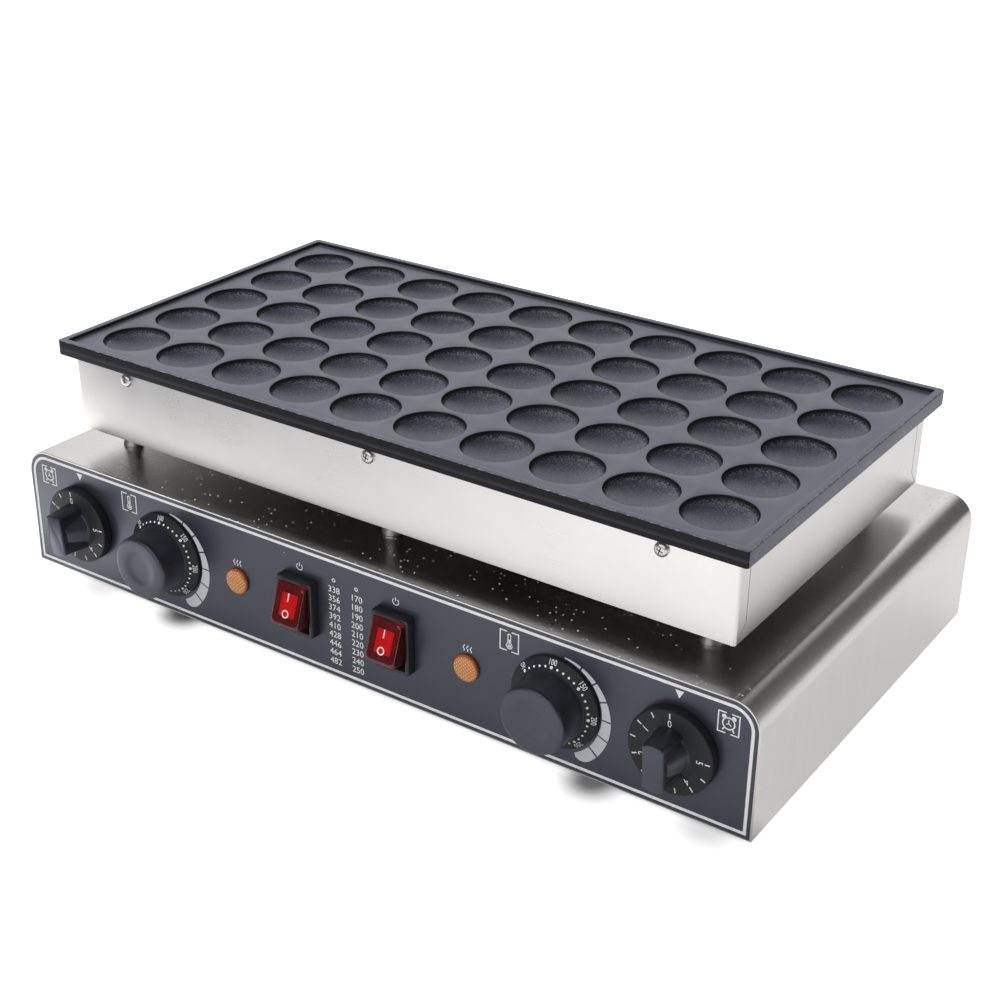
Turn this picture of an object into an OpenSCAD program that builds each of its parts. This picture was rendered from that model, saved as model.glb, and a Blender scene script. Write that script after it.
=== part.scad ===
// Mini pancake maker: a cast plate of dimples on a heater box, standing on posts above a control base.
// Millimetres. X runs along the front, Y to the back and Z up, with the floor at Z = 0.

/* [Cooking plate] */
// Columns of dimples across the front
dimple_cols = 10; // [9:1:11]
// Rows of dimples from front to back
dimple_rows = 5; // [4:1:6]
// Distance between dimple centres
dimple_pitch = 50; // [48:0.5:53]
// Diameter of a dimple
dimple_d = 45; // [38:0.5:46]
// Depth of a dimple below the plate's face
dimple_depth = 8; // [6:0.5:9]
// Upright wall at the top of a dimple
dimple_wall_h = 3.5; // [1.5:0.25:4.5]
// Plain border outside the outermost dimple cells
plate_margin = 12.5; // [11:0.5:18]
// Height of the plate's visible edge
plate_edge_h = 10.7; // [10:0.1:14]
// Height of the rim above the plate's face
rim_h = 2.5; // [1.5:0.25:4]
// Width of the rim
rim_w = 4.5; // [3:0.25:6]
// Width of the low step inside the rim
rim_step_w = 1.2; // [0.5:0.1:2]
// Metal left below the dimples
plate_web = 5; // [4:0.5:8]
// Depth of the rib under the plate that the side screws enter
rib_h = 16; // [14:0.5:18]
// Width of that rib
rib_w = 9; // [8:0.5:12]
// Corner radius of the plate
plate_corner_r = 2.5; // [1:0.25:5]

/* [Heater box] */
// How far the plate stands out over the box on each side
plate_overhang = 8; // [5:0.5:12]
// Height of the box
box_h = 54; // [50:1:70]
// Sheet thickness of the box
box_t = 0.8; // [0.6:0.1:1.2]
// Length of the front and rear sheets' return round the corner
box_lap = 12; // [8:1:16]
// Height of the slanted cut at the foot of a return
lap_cut_h = 11; // [6:0.5:16]
// Width left at the foot of a return
lap_foot = 3; // [2:0.5:6]
// Width of the flange folded in over the floor
box_flange = 10; // [8:0.5:11]
// Thickness of the box floor
floor_t = 1; // [0.8:0.1:1.5]
// Thickness of the insulating mat
mat_t = 18; // [12:1:22]
// Distance of the plate screws below the plate's edge
plate_screw_drop = 8; // [6.5:0.5:9]
// Distance of the outer plate screws from the box corner
plate_screw_inset = 48.5; // [30:0.5:70]
// Thread diameter of the plate screws
plate_screw_d = 5; // [4:0.5:5]

/* [Heaters] */
// Diameter of the heater tube
element_d = 8; // [6.5:0.5:8.5]
// Distance between the runs of a heater
run_pitch = 60; // [50:1:64]
// Clear distance from the middle of the box to a heater's inner bend
element_mid_gap = 12; // [8:1:20]
// Clear distance from a heater's outer bend to the box corner
element_end_gap = 26; // [22:1:40]
// Width of a clamp bar
clamp_w = 14; // [10:1:18]
// Thickness of a clamp bar
clamp_t = 2; // [1.5:0.5:3]
// Thread diameter of the clamp studs
clamp_stud_d = 5; // [4:0.5:6]
// Diameter of a thermostat bulb
bulb_d = 6; // [5:0.5:6.5]
// Length of a thermostat bulb
bulb_l = 80; // [60:1:90]
// Diameter of the capillary tube
capillary_d = 1.8; // [1.4:0.1:2]

/* [Posts] */
// Height of the posts between base and heater box
post_h = 15.5; // [10:0.5:25]
// Diameter of a post at its top
post_d = 10.5; // [9:0.5:12]
// Diameter of a post at its foot
post_base_d = 14; // [13:0.5:20]
// Distance of the outer posts from the box's ends
post_inset_x = 25; // [22:0.5:40]
// Distance of the posts from the box's front and rear
post_inset_y = 22.5; // [17:0.5:24]
// Thread diameter of the post bolts
bolt_d = 6; // [5:0.5:6]
// Outside diameter of the wire conduit
conduit_d = 22; // [21:0.5:26]
// Wall of the wire conduit
conduit_wall = 1.5; // [1:0.25:2]
// Distance of the conduit behind the middle of the box
conduit_back = 40; // [36:1:60]

/* [Base] */
// Height of the base
base_h = 88.5; // [84:0.5:110]
// Depth of base in front of the heater box
front_shelf = 24.5; // [18:0.5:40]
// Depth of base behind the heater box
rear_shelf = 28.5; // [18:0.5:40]
// Width of base beside the heater box
side_shelf = 31.5; // [24:0.5:50]
// Sheet thickness of the base shell
base_t = 1.2; // [0.8:0.1:1.5]
// Outer radius of the shell's two bends
bend_r = 18; // [10:0.5:22]
// Width of the shell's flanges over the base plate
shell_flange = 16; // [14:0.5:20]
// Thickness of the base plate
base_plate_t = 1; // [0.8:0.1:1.5]
// Sheet thickness of the front and rear panels
panel_t = 1.2; // [0.8:0.1:1.5]
// Depth of the panels' folded edges
pan_depth = 14; // [12:0.5:18]
// Thickness of the printed film on the front
film_t = 0.5; // [0.3:0.1:0.8]
// Height of the feet
foot_h = 10; // [8:0.5:20]
// Diameter of a foot at the floor
foot_d = 24; // [20:0.5:28]
// Distance of the feet from the base's ends and faces
foot_inset = 40; // [34:0.5:60]
// Thread diameter of the foot screws
foot_screw_d = 5; // [4:0.5:5]
// Thread diameter of the small case screws
case_screw_d = 4; // [3:0.5:4]

/* [Controls] */
// Distance of a timer's axis from the base's end
timer_inset = 50.6; // [46:0.1:54]
// Distance from a timer's axis to its thermostat's axis
thermostat_step = 79.9; // [72:0.1:84]
// Distance from a thermostat's axis to its lamp
lamp_step = 63.5; // [52:0.1:68]
// Distance of a switch from the middle of the panel
switch_x = 38.3; // [30:0.1:42]
// Height of the switches above the middle of the panel
switch_lift = 1.5; // [-3:0.5:3]
// Diameter of the control shafts
shaft_d = 6; // [5:0.5:6.5]
// Length of a shaft in front of the panel
shaft_out = 18; // [14:0.5:19]
// Length of a shaft inside its timer or thermostat
shaft_in = 20; // [14:0.5:22]
// Flat cut off the shaft's tip
shaft_flat = 1; // [0.5:0.1:1.5]
// Width and height of a timer's case
timer_case = 44; // [40:0.5:48]
// Depth of a timer's case
timer_depth = 30; // [26:0.5:36]
// Width of a thermostat's case
thermostat_w = 36; // [34:0.5:44]
// Height of a thermostat's case
thermostat_l = 46; // [40:0.5:48]
// Depth of a thermostat's case
thermostat_depth = 26; // [24:0.5:32]
// Distance of the control screws from the shaft
control_screw_r = 14; // [13:0.5:15]

/* [Knobs] */
// Gap between a knob and the panel
knob_gap = 0.8; // [0.5:0.1:1.5]
// Height of a thermostat knob's skirt above that gap
skirt_h = 5.5; // [4.8:0.1:6.5]
// Height of the upright edge of that skirt
skirt_edge = 1.5; // [1:0.1:2.5]
// Height of a timer knob's skirt above that gap
timer_skirt_h = 6.7; // [5:0.1:8]
// Wall of the hollow skirt
skirt_wall = 1.8; // [1.2:0.1:2.4]
// Diameter of the boss round the shaft
knob_boss_d = 15; // [12:0.5:17]
// Diameter of a timer knob's skirt
timer_skirt_d = 54.5; // [50:0.5:62]
// Height of a timer knob in front of the panel
timer_knob_h = 27; // [22:0.5:32]
// Diameter of the hub below a timer knob's grip bar
hub_d = 25; // [22:0.5:30]
// Width of a timer knob's grip bar
bar_w = 14; // [10:0.5:16]
// Length of a timer knob's grip bar
bar_l = 31; // [26:0.5:36]
// Turn of the left timer knob before its 0 mark, in degrees
timer_left_turn = 7; // [0:1:10]
// Turn of the right timer knob before its 0 mark, in degrees
timer_right_turn = 3; // [0:1:10]
// Diameter of a thermostat knob's skirt
thermostat_skirt_d = 60.5; // [56:0.5:70]
// Height of a thermostat knob in front of the panel
thermostat_knob_h = 27; // [22:0.5:32]
// Diameter of a thermostat knob's grip
thermostat_grip_d = 45; // [36:0.5:46]
// Depth of the dish in a thermostat knob's end
grip_dish = 1.6; // [0.8:0.1:2.5]

/* [Rocker switches] */
// Width of a rocker
rocker_w = 22.5; // [18:0.5:24]
// Length of a rocker's face
rocker_l = 28; // [24:0.5:30]
// Height of a rocker's face above its pivot
rocker_h = 11.7; // [10:0.1:14]
// Height of the pivot in front of the panel
rocker_pivot = 2.8; // [2.6:0.1:4]
// Tilt of a rocker in each of its two positions
rocker_tilt = 20; // [10:1:22]
// Wall of the hollow rocker
rocker_wall = 2.6; // [2:0.1:3.2]
// Diameter of the rocker's pivot pins
rocker_pin_d = 4; // [3:0.25:4.5]
// Height of the bezel in front of the panel
bezel_h = 7; // [6:0.5:9]
// Width of the bezel beside the rocker
bezel_side = 2.6; // [2.2:0.1:3.5]
// Width of the bezel above and below the rocker
bezel_end = 3; // [2.4:0.1:4]
// Depth of the switch case behind the panel's face
switch_depth = 30; // [24:0.5:36]

/* [Lamps] */
// Diameter of a lamp's lens
lamp_d = 18; // [15:0.5:22]
// Height of the lens in front of the panel
lamp_h = 3; // [2:0.25:5]
// Diameter of the lens's stem through the panel
lamp_stem_d = 12; // [10:0.5:13]
// Length of a lamp's sleeve behind the panel
lamp_sleeve_l = 16; // [14:0.5:24]

/* [Mains inlet] */
// Bore of the cable gland
gland_bore_d = 8.4; // [7:0.1:10]
// Thread diameter of the cable gland
gland_thread_d = 20; // [18:0.5:22]
// Length of the gland behind the rear panel
gland_out = 24; // [18:0.5:30]
// Distance of the gland from the base's end
gland_inset = 86; // [70:1:110]
// Diameter of a single insulated lead
lead_d = 2.6; // [2:0.1:3]

/* [Hidden] */
$fn = 48;

// Clearances: sheet in sheet, screw in hole, shaft in bore, knob on shaft, rocker in bezel,
// seam round the base plate, lap at the box corners and rib in the box
fit_gap = 0.2;
screw_gap = 0.2;
thread_gap = 0.05;
run_gap = 0.05;
press_gap = 0.03;
rocker_gap = 0.4;
seam_gap = 0.3;
lap_gap = 0.5;
rib_gap = 0.4;
cut = 1;

// Overall sizes that follow from the driving dimensions
plate_w = dimple_cols * dimple_pitch + 2 * plate_margin;
plate_d = dimple_rows * dimple_pitch + 2 * plate_margin;
box_w = plate_w - 2 * plate_overhang;
box_d = plate_d - 2 * plate_overhang;
base_w = box_w + 2 * side_shelf;
base_d = box_d + front_shelf + rear_shelf;

// Heights
z_base0 = foot_h;
z_shell0 = z_base0 + base_plate_t;
z_base1 = z_base0 + base_h;
z_box0 = z_base1 + post_h;
z_box1 = z_box0 + box_h;
z_rim = z_box1 + plate_edge_h;
z_field = z_rim - rim_h;
z_under = z_field - dimple_depth - plate_web;
z_rib = z_box1 - rib_h;
z_mat = z_box0 + floor_t;
z_control = z_base0 + base_h / 2;
z_element = z_under - element_d / 2;
z_clamp = z_under - element_d - clamp_t;
z_bulb = z_under - bulb_d / 2;

// Depths, with Y = 0 midway between the foremost knob and the end of the gland
knob_out = max(timer_knob_h, thermostat_knob_h);
y_front = (knob_out - base_d - gland_out) / 2;
y_rear = y_front + base_d;
base_mid_y = (y_front + y_rear) / 2;
deck_y = y_front + front_shelf + box_d / 2;
panel_back = film_t + panel_t;

// Places along the front panel
timer_x = base_w / 2 - timer_inset;
thermostat_x = timer_x - thermostat_step;
lamp_x = thermostat_x - lamp_step;
switch_z = z_control + switch_lift;
gland_x = base_w / 2 - gland_inset;

// Rib, rocker and switch sizes that follow
rib_out_w = box_w - 2 * (box_t + rib_gap);
rib_out_d = box_d - 2 * (box_t + rib_gap);
rocker_reach = (bezel_h - rocker_pivot + rocker_l / 2 * sin(rocker_tilt)) / cos(rocker_tilt);
cavity_w = rocker_w + 2 * rocker_gap;
cavity_l = rocker_l * cos(rocker_tilt) + 2 * min(rocker_reach, rocker_h) * sin(rocker_tilt)
  + 2 * rocker_gap;
cavity_depth = rocker_l / 2 * sin(rocker_tilt) + rocker_pin_d;
bezel_w = cavity_w + 2 * bezel_side;
bezel_l = cavity_l + 2 * bezel_end;
case_w = cavity_w + bezel_side;
case_l = cavity_l + bezel_end;
rocker_foot = 0.5;
rocker_face = 3;
core_gap = 0.25;

// Heater layout: four straight runs to each heater
element_in_x = element_mid_gap + element_d / 2 + run_pitch / 2;
element_out_x = box_w / 2 - element_end_gap - element_d / 2 - run_pitch / 2;
run_l = element_out_x - element_in_x;
clamp_xs = [element_in_x + run_l / 4, element_out_x - run_l / 6];
clamp_l = 3 * run_pitch + element_d + 4;
bulb_x = element_in_x + run_l / 2;
element_pin_d = 4;
element_pin_l = 12;
stud_depth = plate_web - 1.5;

// Fastener places
plate_screw_xs = [-(box_w / 2 - plate_screw_inset), 0, box_w / 2 - plate_screw_inset];
post_xs = [-(box_w / 2 - post_inset_x), 0, box_w / 2 - post_inset_x];
post_ys = [deck_y - box_d / 2 + post_inset_y, deck_y + box_d / 2 - post_inset_y];
foot_xs = [-(base_w / 2 - foot_inset), base_w / 2 - foot_inset];
foot_ys = [y_front + foot_inset, y_rear - foot_inset];
flange_screw_x = base_w / 2 - shell_flange / 2;
flange_screw_ys = [base_mid_y - base_d / 2 + 55, base_mid_y, base_mid_y + base_d / 2 - 55];
pan_screw_x = base_w / 4;
pan_screw_ys = [y_front + film_t + pan_depth / 2, y_rear - pan_depth / 2];
base_screw_places = concat(
  [for (s = [-1, 1]) for (y = flange_screw_ys) [s * flange_screw_x, y]],
  [for (s = [-1, 1]) for (y = pan_screw_ys) [s * pan_screw_x, y]]);
case_screw_l = 8;

// Mains side: block, stud and gland
gland_flange_h = 6;
gland_in = 12;
locknut_h = 5;
block_w = 50;
block_d = 24;
block_h = 20;
block_y = y_rear - 66;
block_pole = 14;
earth_x = gland_x - 60;
earth_stud_d = foot_screw_d;
earth_stud_l = 18;

// Heights of nuts and heads follow the thread, as on metric fasteners
function nut_h(d) = 0.8 * d;
function hex_af(d) = 1.65 * d;
function head_h(d) = 0.6 * d;
function head_r(d) = 0.92 * d;

// A round-cornered rectangle about its middle
module rounded_rect(w, h, r) {
  square([w - 2 * r, h], center = true);
  square([w, h - 2 * r], center = true);
  for (x = [-1, 1], y = [-1, 1]) translate([x * (w / 2 - r), y * (h / 2 - r)]) circle(r);
}

// A profile drawn in X and Z, run from y0 to y1
module along_y(y0, y1) {
  translate([0, y1, 0]) rotate([90, 0, 0]) linear_extrude(y1 - y0) children();
}

// A profile drawn in Y and Z, run from x0 to x1
module along_x(x0, x1) {
  translate([x0, 0, 0]) rotate([90, 0, 90]) linear_extrude(x1 - x0) children();
}

// Local frame on the front panel: X along it, Y up, Z out towards the user
module on_panel(x, z) {
  translate([x, y_front, z]) rotate([90, 0, 0]) children();
}

// Local frame on the rear panel, Z out behind the base
module on_rear(x, z) {
  translate([x, y_rear, z]) rotate([-90, 0, 0]) children();
}

// A straight round rod between two points
module rod(a, b, d) {
  v = b - a;
  l = norm(v);
  translate(a) rotate([0, acos(v[2] / l), atan2(v[1], v[0])]) cylinder(h = l, d = d);
}

// A wire through points: straight eight-sided lengths that run a little past each bend
module wire(points, d) {
  for (i = [0 : len(points) - 2]) {
    v = (points[i + 1] - points[i]) / norm(points[i + 1] - points[i]);
    past = i < len(points) - 2 ? 0.3 * d : 0;
    before = i > 0 ? 0.3 * d : 0;
    rod(points[i] - before * v, points[i + 1] + past * v, d, $fn = 8);
  }
}

module hex_nut(d, gap) {
  difference() {
    cylinder(h = nut_h(d), d = hex_af(d) / cos(30), $fn = 6);
    translate([0, 0, -cut]) cylinder(h = nut_h(d) + 2 * cut, d = d + 2 * gap);
  }
}

// Pan-head screw: head above Z = 0, shank of length l below, cross recess in the head
module pan_screw(d, l) {
  dome_r = 2.2 * head_r(d);
  difference() {
    union() {
      translate([0, 0, -l]) cylinder(h = l, d = d);
      intersection() {
        cylinder(h = head_h(d), r = head_r(d));
        translate([0, 0, head_h(d) - dome_r]) sphere(dome_r);
      }
    }
    for (a = [0, 90]) rotate(a) translate([-0.5 * d, -0.1 * d, 0.25 * d]) cube([d, 0.2 * d, d]);
  }
}

// Outline of the base seen from the front, drawn in by inset
module base_outline(inset, bottom) {
  w = base_w - 2 * inset;
  top = z_base1 - inset;
  r = bend_r - inset;
  translate([-w / 2, bottom]) square([w, top - r - bottom]);
  translate([-w / 2 + r, bottom]) square([w - 2 * r, top - bottom]);
  for (s = [-1, 1]) translate([s * (w / 2 - r), top - r]) circle(r);
}

// One dimple, to be cut away: an upright wall over a spherical dish
module dimple() {
  dish_h = dimple_depth - dimple_wall_h;
  dish_r = (pow(dimple_d / 2, 2) + dish_h * dish_h) / (2 * dish_h);
  translate([0, 0, -dimple_wall_h]) cylinder(h = dimple_wall_h + cut, d = dimple_d);
  intersection() {
    translate([0, 0, dish_r - dimple_depth]) sphere(dish_r);
    translate([0, 0, -dimple_depth - cut]) cylinder(h = dish_h + 2 * cut, d = dimple_d);
  }
}

module cooking_plate() color([0.24, 0.24, 0.27]) {
  difference() {
    union() {
      translate([0, deck_y, z_box1])
        linear_extrude(plate_edge_h) rounded_rect(plate_w, plate_d, plate_corner_r);
      translate([0, deck_y, z_rib])
        linear_extrude(rib_h + cut) square([rib_out_w, rib_out_d], center = true);
    }
    translate([0, deck_y, z_field]) linear_extrude(rim_h + cut)
      square([plate_w - 2 * (rim_w + rim_step_w), plate_d - 2 * (rim_w + rim_step_w)], center = true);
    translate([0, deck_y, z_field + rim_h / 3]) linear_extrude(rim_h)
      square([plate_w - 2 * rim_w, plate_d - 2 * rim_w], center = true);
    translate([0, deck_y, z_rib - cut]) linear_extrude(z_under - z_rib + cut)
      square([rib_out_w - 2 * rib_w, rib_out_d - 2 * rib_w], center = true);
    for (i = [0 : dimple_cols - 1], j = [0 : dimple_rows - 1])
      translate([(i - (dimple_cols - 1) / 2) * dimple_pitch,
                 deck_y + (j - (dimple_rows - 1) / 2) * dimple_pitch, z_field])
        dimple();
    for (s = [-1, 1], x = plate_screw_xs)
      translate([x, deck_y + s * (box_d / 2 + cut), z_box1 - plate_screw_drop]) rotate([s * 90, 0, 0])
        cylinder(h = case_screw_l + 2 * cut, d = plate_screw_d + 2 * thread_gap);
    for (s = [-1, 1], x = clamp_xs, y = [-run_pitch, run_pitch])
      translate([s * x, deck_y + y, z_under - cut])
        cylinder(h = stud_depth + cut, d = clamp_stud_d + 2 * thread_gap);
  }
}

module plate_screws() color("silver") {
  for (s = [-1, 1], x = plate_screw_xs)
    translate([x, deck_y + s * box_d / 2, z_box1 - plate_screw_drop]) rotate([-s * 90, 0, 0])
      pan_screw(plate_screw_d, case_screw_l);
}

// Holes through the heater box's front or rear sheet for the plate screws
module plate_screw_holes() {
  for (x = plate_screw_xs)
    translate([x, cut - box_d / 2 + box_t, z_box1 - plate_screw_drop]) rotate([90, 0, 0])
      cylinder(h = box_t + 2 * cut, d = plate_screw_d + 2 * screw_gap);
}

// Front sheet of the heater box, about the middle of the box: face, two returns and a floor flange
module heater_box_end() {
  difference() {
    union() {
      translate([-box_w / 2, -box_d / 2, z_box0]) cube([box_w, box_t, box_h]);
      for (s = [0, 1]) mirror([s, 0, 0])
        along_x(box_w / 2 - box_t, box_w / 2) translate([-box_d / 2, z_box0])
        polygon([[0, 0], [lap_foot, 0], [box_lap, lap_cut_h], [box_lap, box_h], [0, box_h]]);
      translate([-box_w / 2 + box_flange + cut, -box_d / 2, z_box0 + floor_t])
        cube([box_w - 2 * (box_flange + cut), box_flange, box_t]);
    }
    plate_screw_holes();
  }
}

module heater_box_front() color([0.83, 0.82, 0.81]) {
  translate([0, deck_y, 0]) heater_box_end();
}

module heater_box_rear() color([0.83, 0.82, 0.81]) {
  translate([0, deck_y, 0]) mirror([0, 1, 0]) heater_box_end();
}

// Side sheet of the heater box: it fills the outline between the returns, with tabs welded behind them
module heater_box_side() {
  half = box_d / 2;
  seam = box_lap + lap_gap;
  foot = lap_foot + lap_gap;
  tab_z = z_box0 + floor_t + box_t + cut;
  along_x(box_w / 2 - box_t, box_w / 2) translate([0, z_box0])
    polygon([[-half + foot, 0], [half - foot, 0], [half - seam, lap_cut_h], [half - seam, box_h],
             [-half + seam, box_h], [-half + seam, lap_cut_h]]);
  for (s = [0, 1]) mirror([0, s, 0])
    translate([box_w / 2 - 2 * box_t, -half + box_t + fit_gap, tab_z])
      cube([box_t, 2 * box_lap, z_rib - cut - tab_z]);
  translate([box_w / 2 - box_flange, -half + box_flange + cut, z_box0 + floor_t])
    cube([box_flange, box_d - 2 * (box_flange + cut), box_t]);
}

module heater_box_left() color([0.83, 0.82, 0.81]) {
  translate([0, deck_y, 0]) mirror([1, 0, 0]) heater_box_side();
}

module heater_box_right() color([0.83, 0.82, 0.81]) {
  translate([0, deck_y, 0]) heater_box_side();
}

// Holes for the six post bolts
module post_holes(z, h) {
  for (x = post_xs, y = post_ys) translate([x, y, z - cut])
    cylinder(h = h + 2 * cut, d = bolt_d + 2 * screw_gap);
}

module heater_box_floor() color([0.75, 0.75, 0.75]) {
  difference() {
    translate([0, deck_y, z_box0]) linear_extrude(floor_t)
      square([box_w - 2 * (box_t + fit_gap), box_d - 2 * (box_t + fit_gap)], center = true);
    post_holes(z_box0, floor_t);
    translate([0, deck_y + conduit_back, z_box0 - cut])
      cylinder(h = floor_t + 2 * cut, d = conduit_d + 2 * screw_gap);
  }
}

module insulation_mat() color([0.93, 0.92, 0.88]) {
  difference() {
    translate([0, deck_y, z_mat]) linear_extrude(mat_t)
      square([box_w - 2 * (box_flange + 0.5), box_d - 2 * (box_flange + 0.5)], center = true);
    for (x = post_xs, y = post_ys) translate([x, y, z_mat - cut])
      cylinder(h = mat_t + 2 * cut, d = hex_af(bolt_d) + 4);
    translate([0, deck_y + conduit_back, z_mat - cut]) cylinder(h = mat_t + 2 * cut, d = conduit_d + 1);
  }
}

// One tubular heater on the +X side: four runs, three bends, two terminal pins
module heater() {
  for (i = [0 : 3]) translate([element_in_x, (i - 1.5) * run_pitch, z_element]) rotate([0, 90, 0])
    cylinder(h = run_l, d = element_d);
  for (i = [-1, 1]) translate([element_out_x, i * run_pitch, z_element]) rotate([0, 0, -90])
    rotate_extrude(angle = 180) translate([run_pitch / 2, 0]) circle(d = element_d);
  translate([element_in_x, 0, z_element]) rotate([0, 0, 90])
    rotate_extrude(angle = 180) translate([run_pitch / 2, 0]) circle(d = element_d);
  for (i = [-1.5, 1.5]) translate([element_in_x - element_pin_l, i * run_pitch, z_element])
    rotate([0, 90, 0])
    cylinder(h = element_pin_l + cut, d = element_pin_d);
}

module heating_elements() color([0.35, 0.33, 0.32]) {
  for (s = [0, 1]) translate([0, deck_y, 0]) mirror([s, 0, 0]) heater();
}

// Places of the clamp studs
module at_clamp_studs() {
  for (s = [-1, 1], x = clamp_xs, y = [-run_pitch, run_pitch]) translate([s * x, deck_y + y, 0]) children();
}

module clamp_studs() color("silver") {
  at_clamp_studs() translate([0, 0, z_clamp - nut_h(clamp_stud_d) - 1.5])
    cylinder(h = z_under + stud_depth - 0.5 - (z_clamp - nut_h(clamp_stud_d) - 1.5), d = clamp_stud_d);
}

module clamp_bars() color([0.6, 0.6, 0.6]) {
  difference() {
    for (s = [-1, 1], x = clamp_xs) translate([s * x - clamp_w / 2, deck_y - clamp_l / 2, z_clamp])
      cube([clamp_w, clamp_l, clamp_t]);
    at_clamp_studs() translate([0, 0, z_clamp - cut])
      cylinder(h = clamp_t + 2 * cut, d = clamp_stud_d + 2 * screw_gap);
  }
}

module clamp_nuts() color("silver") {
  at_clamp_studs() translate([0, 0, z_clamp - nut_h(clamp_stud_d)]) hex_nut(clamp_stud_d, thread_gap);
}

// Saddle clips that hold the thermostat bulbs up to the plate
module bulb_clips() color("silver") {
  clip_t = 0.8;
  clip_w = 8;
  clip_r = bulb_d / 2 + clip_t;
  for (s = [-1, 1], e = [-1, 1])
    translate([s * bulb_x + e * (bulb_l / 2 - clip_w) - clip_w / 2, deck_y, z_bulb])
    along_x(0, clip_w) difference() {
      union() {
        circle(clip_r);
        translate([-clip_r, 0]) square([2 * clip_r, bulb_d / 2]);
        translate([-2 * clip_r, bulb_d / 2 - clip_t]) square([4 * clip_r, clip_t]);
      }
      circle(bulb_d / 2 + thread_gap);
      translate([-bulb_d / 2 - thread_gap, 0]) square([bulb_d + 2 * thread_gap, bulb_d]);
      translate([-2 * clip_r, bulb_d / 2]) square([4 * clip_r, bulb_d]);
    }
}

module standoff_posts() color([0.8, 0.8, 0.8]) {
  bore = bolt_d / 2 + screw_gap;
  for (x = post_xs, y = post_ys) translate([x, y, z_base1]) rotate_extrude()
    polygon([[bore, 0], [post_base_d / 2, 0], [post_base_d / 2, 1.5], [post_d / 2, post_h * 0.45],
             [post_d / 2, post_h], [bore, post_h]]);
}

module post_bolts() color("silver") {
  for (x = post_xs, y = post_ys) translate([x, y, z_base1 - base_t]) {
    translate([0, 0, -head_h(bolt_d)]) cylinder(h = head_h(bolt_d), d = hex_af(bolt_d) / cos(30), $fn = 6);
    translate([0, 0, -cut]) cylinder(h = cut + base_t + post_h + floor_t + nut_h(bolt_d) + 1.5, d = bolt_d);
  }
}

module post_nuts() color("silver") {
  for (x = post_xs, y = post_ys) translate([x, y, z_mat]) hex_nut(bolt_d, thread_gap);
}

// Tube for leads and capillaries, with a collar that spans the air gap between base and heater box
module wire_conduit() color([0.7, 0.7, 0.7]) {
  r = conduit_d / 2;
  collar = r + 3;
  z0 = z_base1 - base_t - 6;
  z1 = z_mat + mat_t + 4;
  translate([0, deck_y + conduit_back, 0]) rotate_extrude()
    polygon([[r - conduit_wall, z0], [r, z0], [r, z_base1], [collar, z_base1], [collar, z_box0],
             [r, z_box0],
             [r, z1], [r - conduit_wall, z1]]);
}

module base_shell() color([0.74, 0.73, 0.72]) {
  flange_y = y_front + film_t + pan_depth + cut;
  flange_l = y_rear - pan_depth - cut - flange_y;
  difference() {
    union() {
      difference() {
        along_y(y_front, y_rear) base_outline(0, z_shell0);
        along_y(y_front - cut, y_rear + cut) base_outline(base_t, z_shell0 - cut);
      }
      for (s = [0, 1]) mirror([s, 0, 0]) translate([base_w / 2 - shell_flange, flange_y, z_shell0])
        cube([shell_flange, flange_l, base_t]);
    }
    post_holes(z_base1 - base_t, base_t);
    translate([0, deck_y + conduit_back, z_base1 - base_t - cut])
      cylinder(h = base_t + 2 * cut, d = conduit_d + 2 * screw_gap);
    base_screw_holes(z_shell0, base_t, thread_gap);
  }
}

// Holes for the base screws through a sheet at height z
module base_screw_holes(z, h, gap) {
  for (p = base_screw_places) translate([p[0], p[1], z - cut])
    cylinder(h = h + 2 * cut, d = case_screw_d + 2 * gap);
}

// A shallow pan that closes one end of the base shell, face at y_face, edges folded towards +Y
module end_pan(y_face) {
  inset = base_t + fit_gap;
  difference() {
    along_y(y_face, y_face + pan_depth) base_outline(inset, z_shell0);
    along_y(y_face + panel_t, y_face + pan_depth + cut) base_outline(inset + panel_t, z_shell0 + panel_t);
  }
}

// Openings for shafts, control screws, lamps and switches, through film and panel
module panel_cuts() {
  depth = panel_back + 2 * cut;
  for (s = [-1, 1]) {
    for (x = [timer_x, thermostat_x]) on_panel(s * x, z_control) translate([0, 0, cut - depth]) {
      cylinder(h = depth, d = shaft_d + 4);
      for (e = [-1, 1]) translate([e * control_screw_r, 0, 0])
        cylinder(h = depth, d = case_screw_d + 2 * screw_gap);
    }
    on_panel(s * lamp_x, z_control) translate([0, 0, cut - depth])
      cylinder(h = depth, d = lamp_stem_d + 2 * screw_gap);
    on_panel(s * switch_x, switch_z) translate([0, 0, cut - depth]) linear_extrude(depth)
      square([case_w + 2 * fit_gap, case_l + 2 * fit_gap], center = true);
  }
}

module front_panel() color([0.7, 0.7, 0.7]) {
  difference() {
    end_pan(y_front + film_t);
    panel_cuts();
    base_screw_holes(z_shell0, panel_t, thread_gap);
  }
}

module panel_overlay() color([0.3, 0.3, 0.33]) {
  difference() {
    along_y(y_front, y_front + film_t) base_outline(base_t + fit_gap, z_shell0);
    panel_cuts();
  }
}

module rear_panel() color([0.74, 0.73, 0.72]) {
  slot_w = 44;
  slot_h = 4;
  difference() {
    translate([0, 2 * base_mid_y, 0]) mirror([0, 1, 0]) end_pan(y_front);
    on_rear(gland_x, z_control) translate([0, 0, -panel_t - cut])
      cylinder(h = panel_t + 2 * cut, d = gland_thread_d + 2 * screw_gap);
    for (c = [-1.5 : 1.5], k = [-2 : 2])
      on_rear(c * (slot_w + 12), z_control + k * 3 * slot_h) translate([0, 0, -panel_t - cut])
        linear_extrude(panel_t + 2 * cut) rounded_rect(slot_w, slot_h, slot_h / 2 - 0.01);
    base_screw_holes(z_shell0, panel_t, thread_gap);
  }
}

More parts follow.
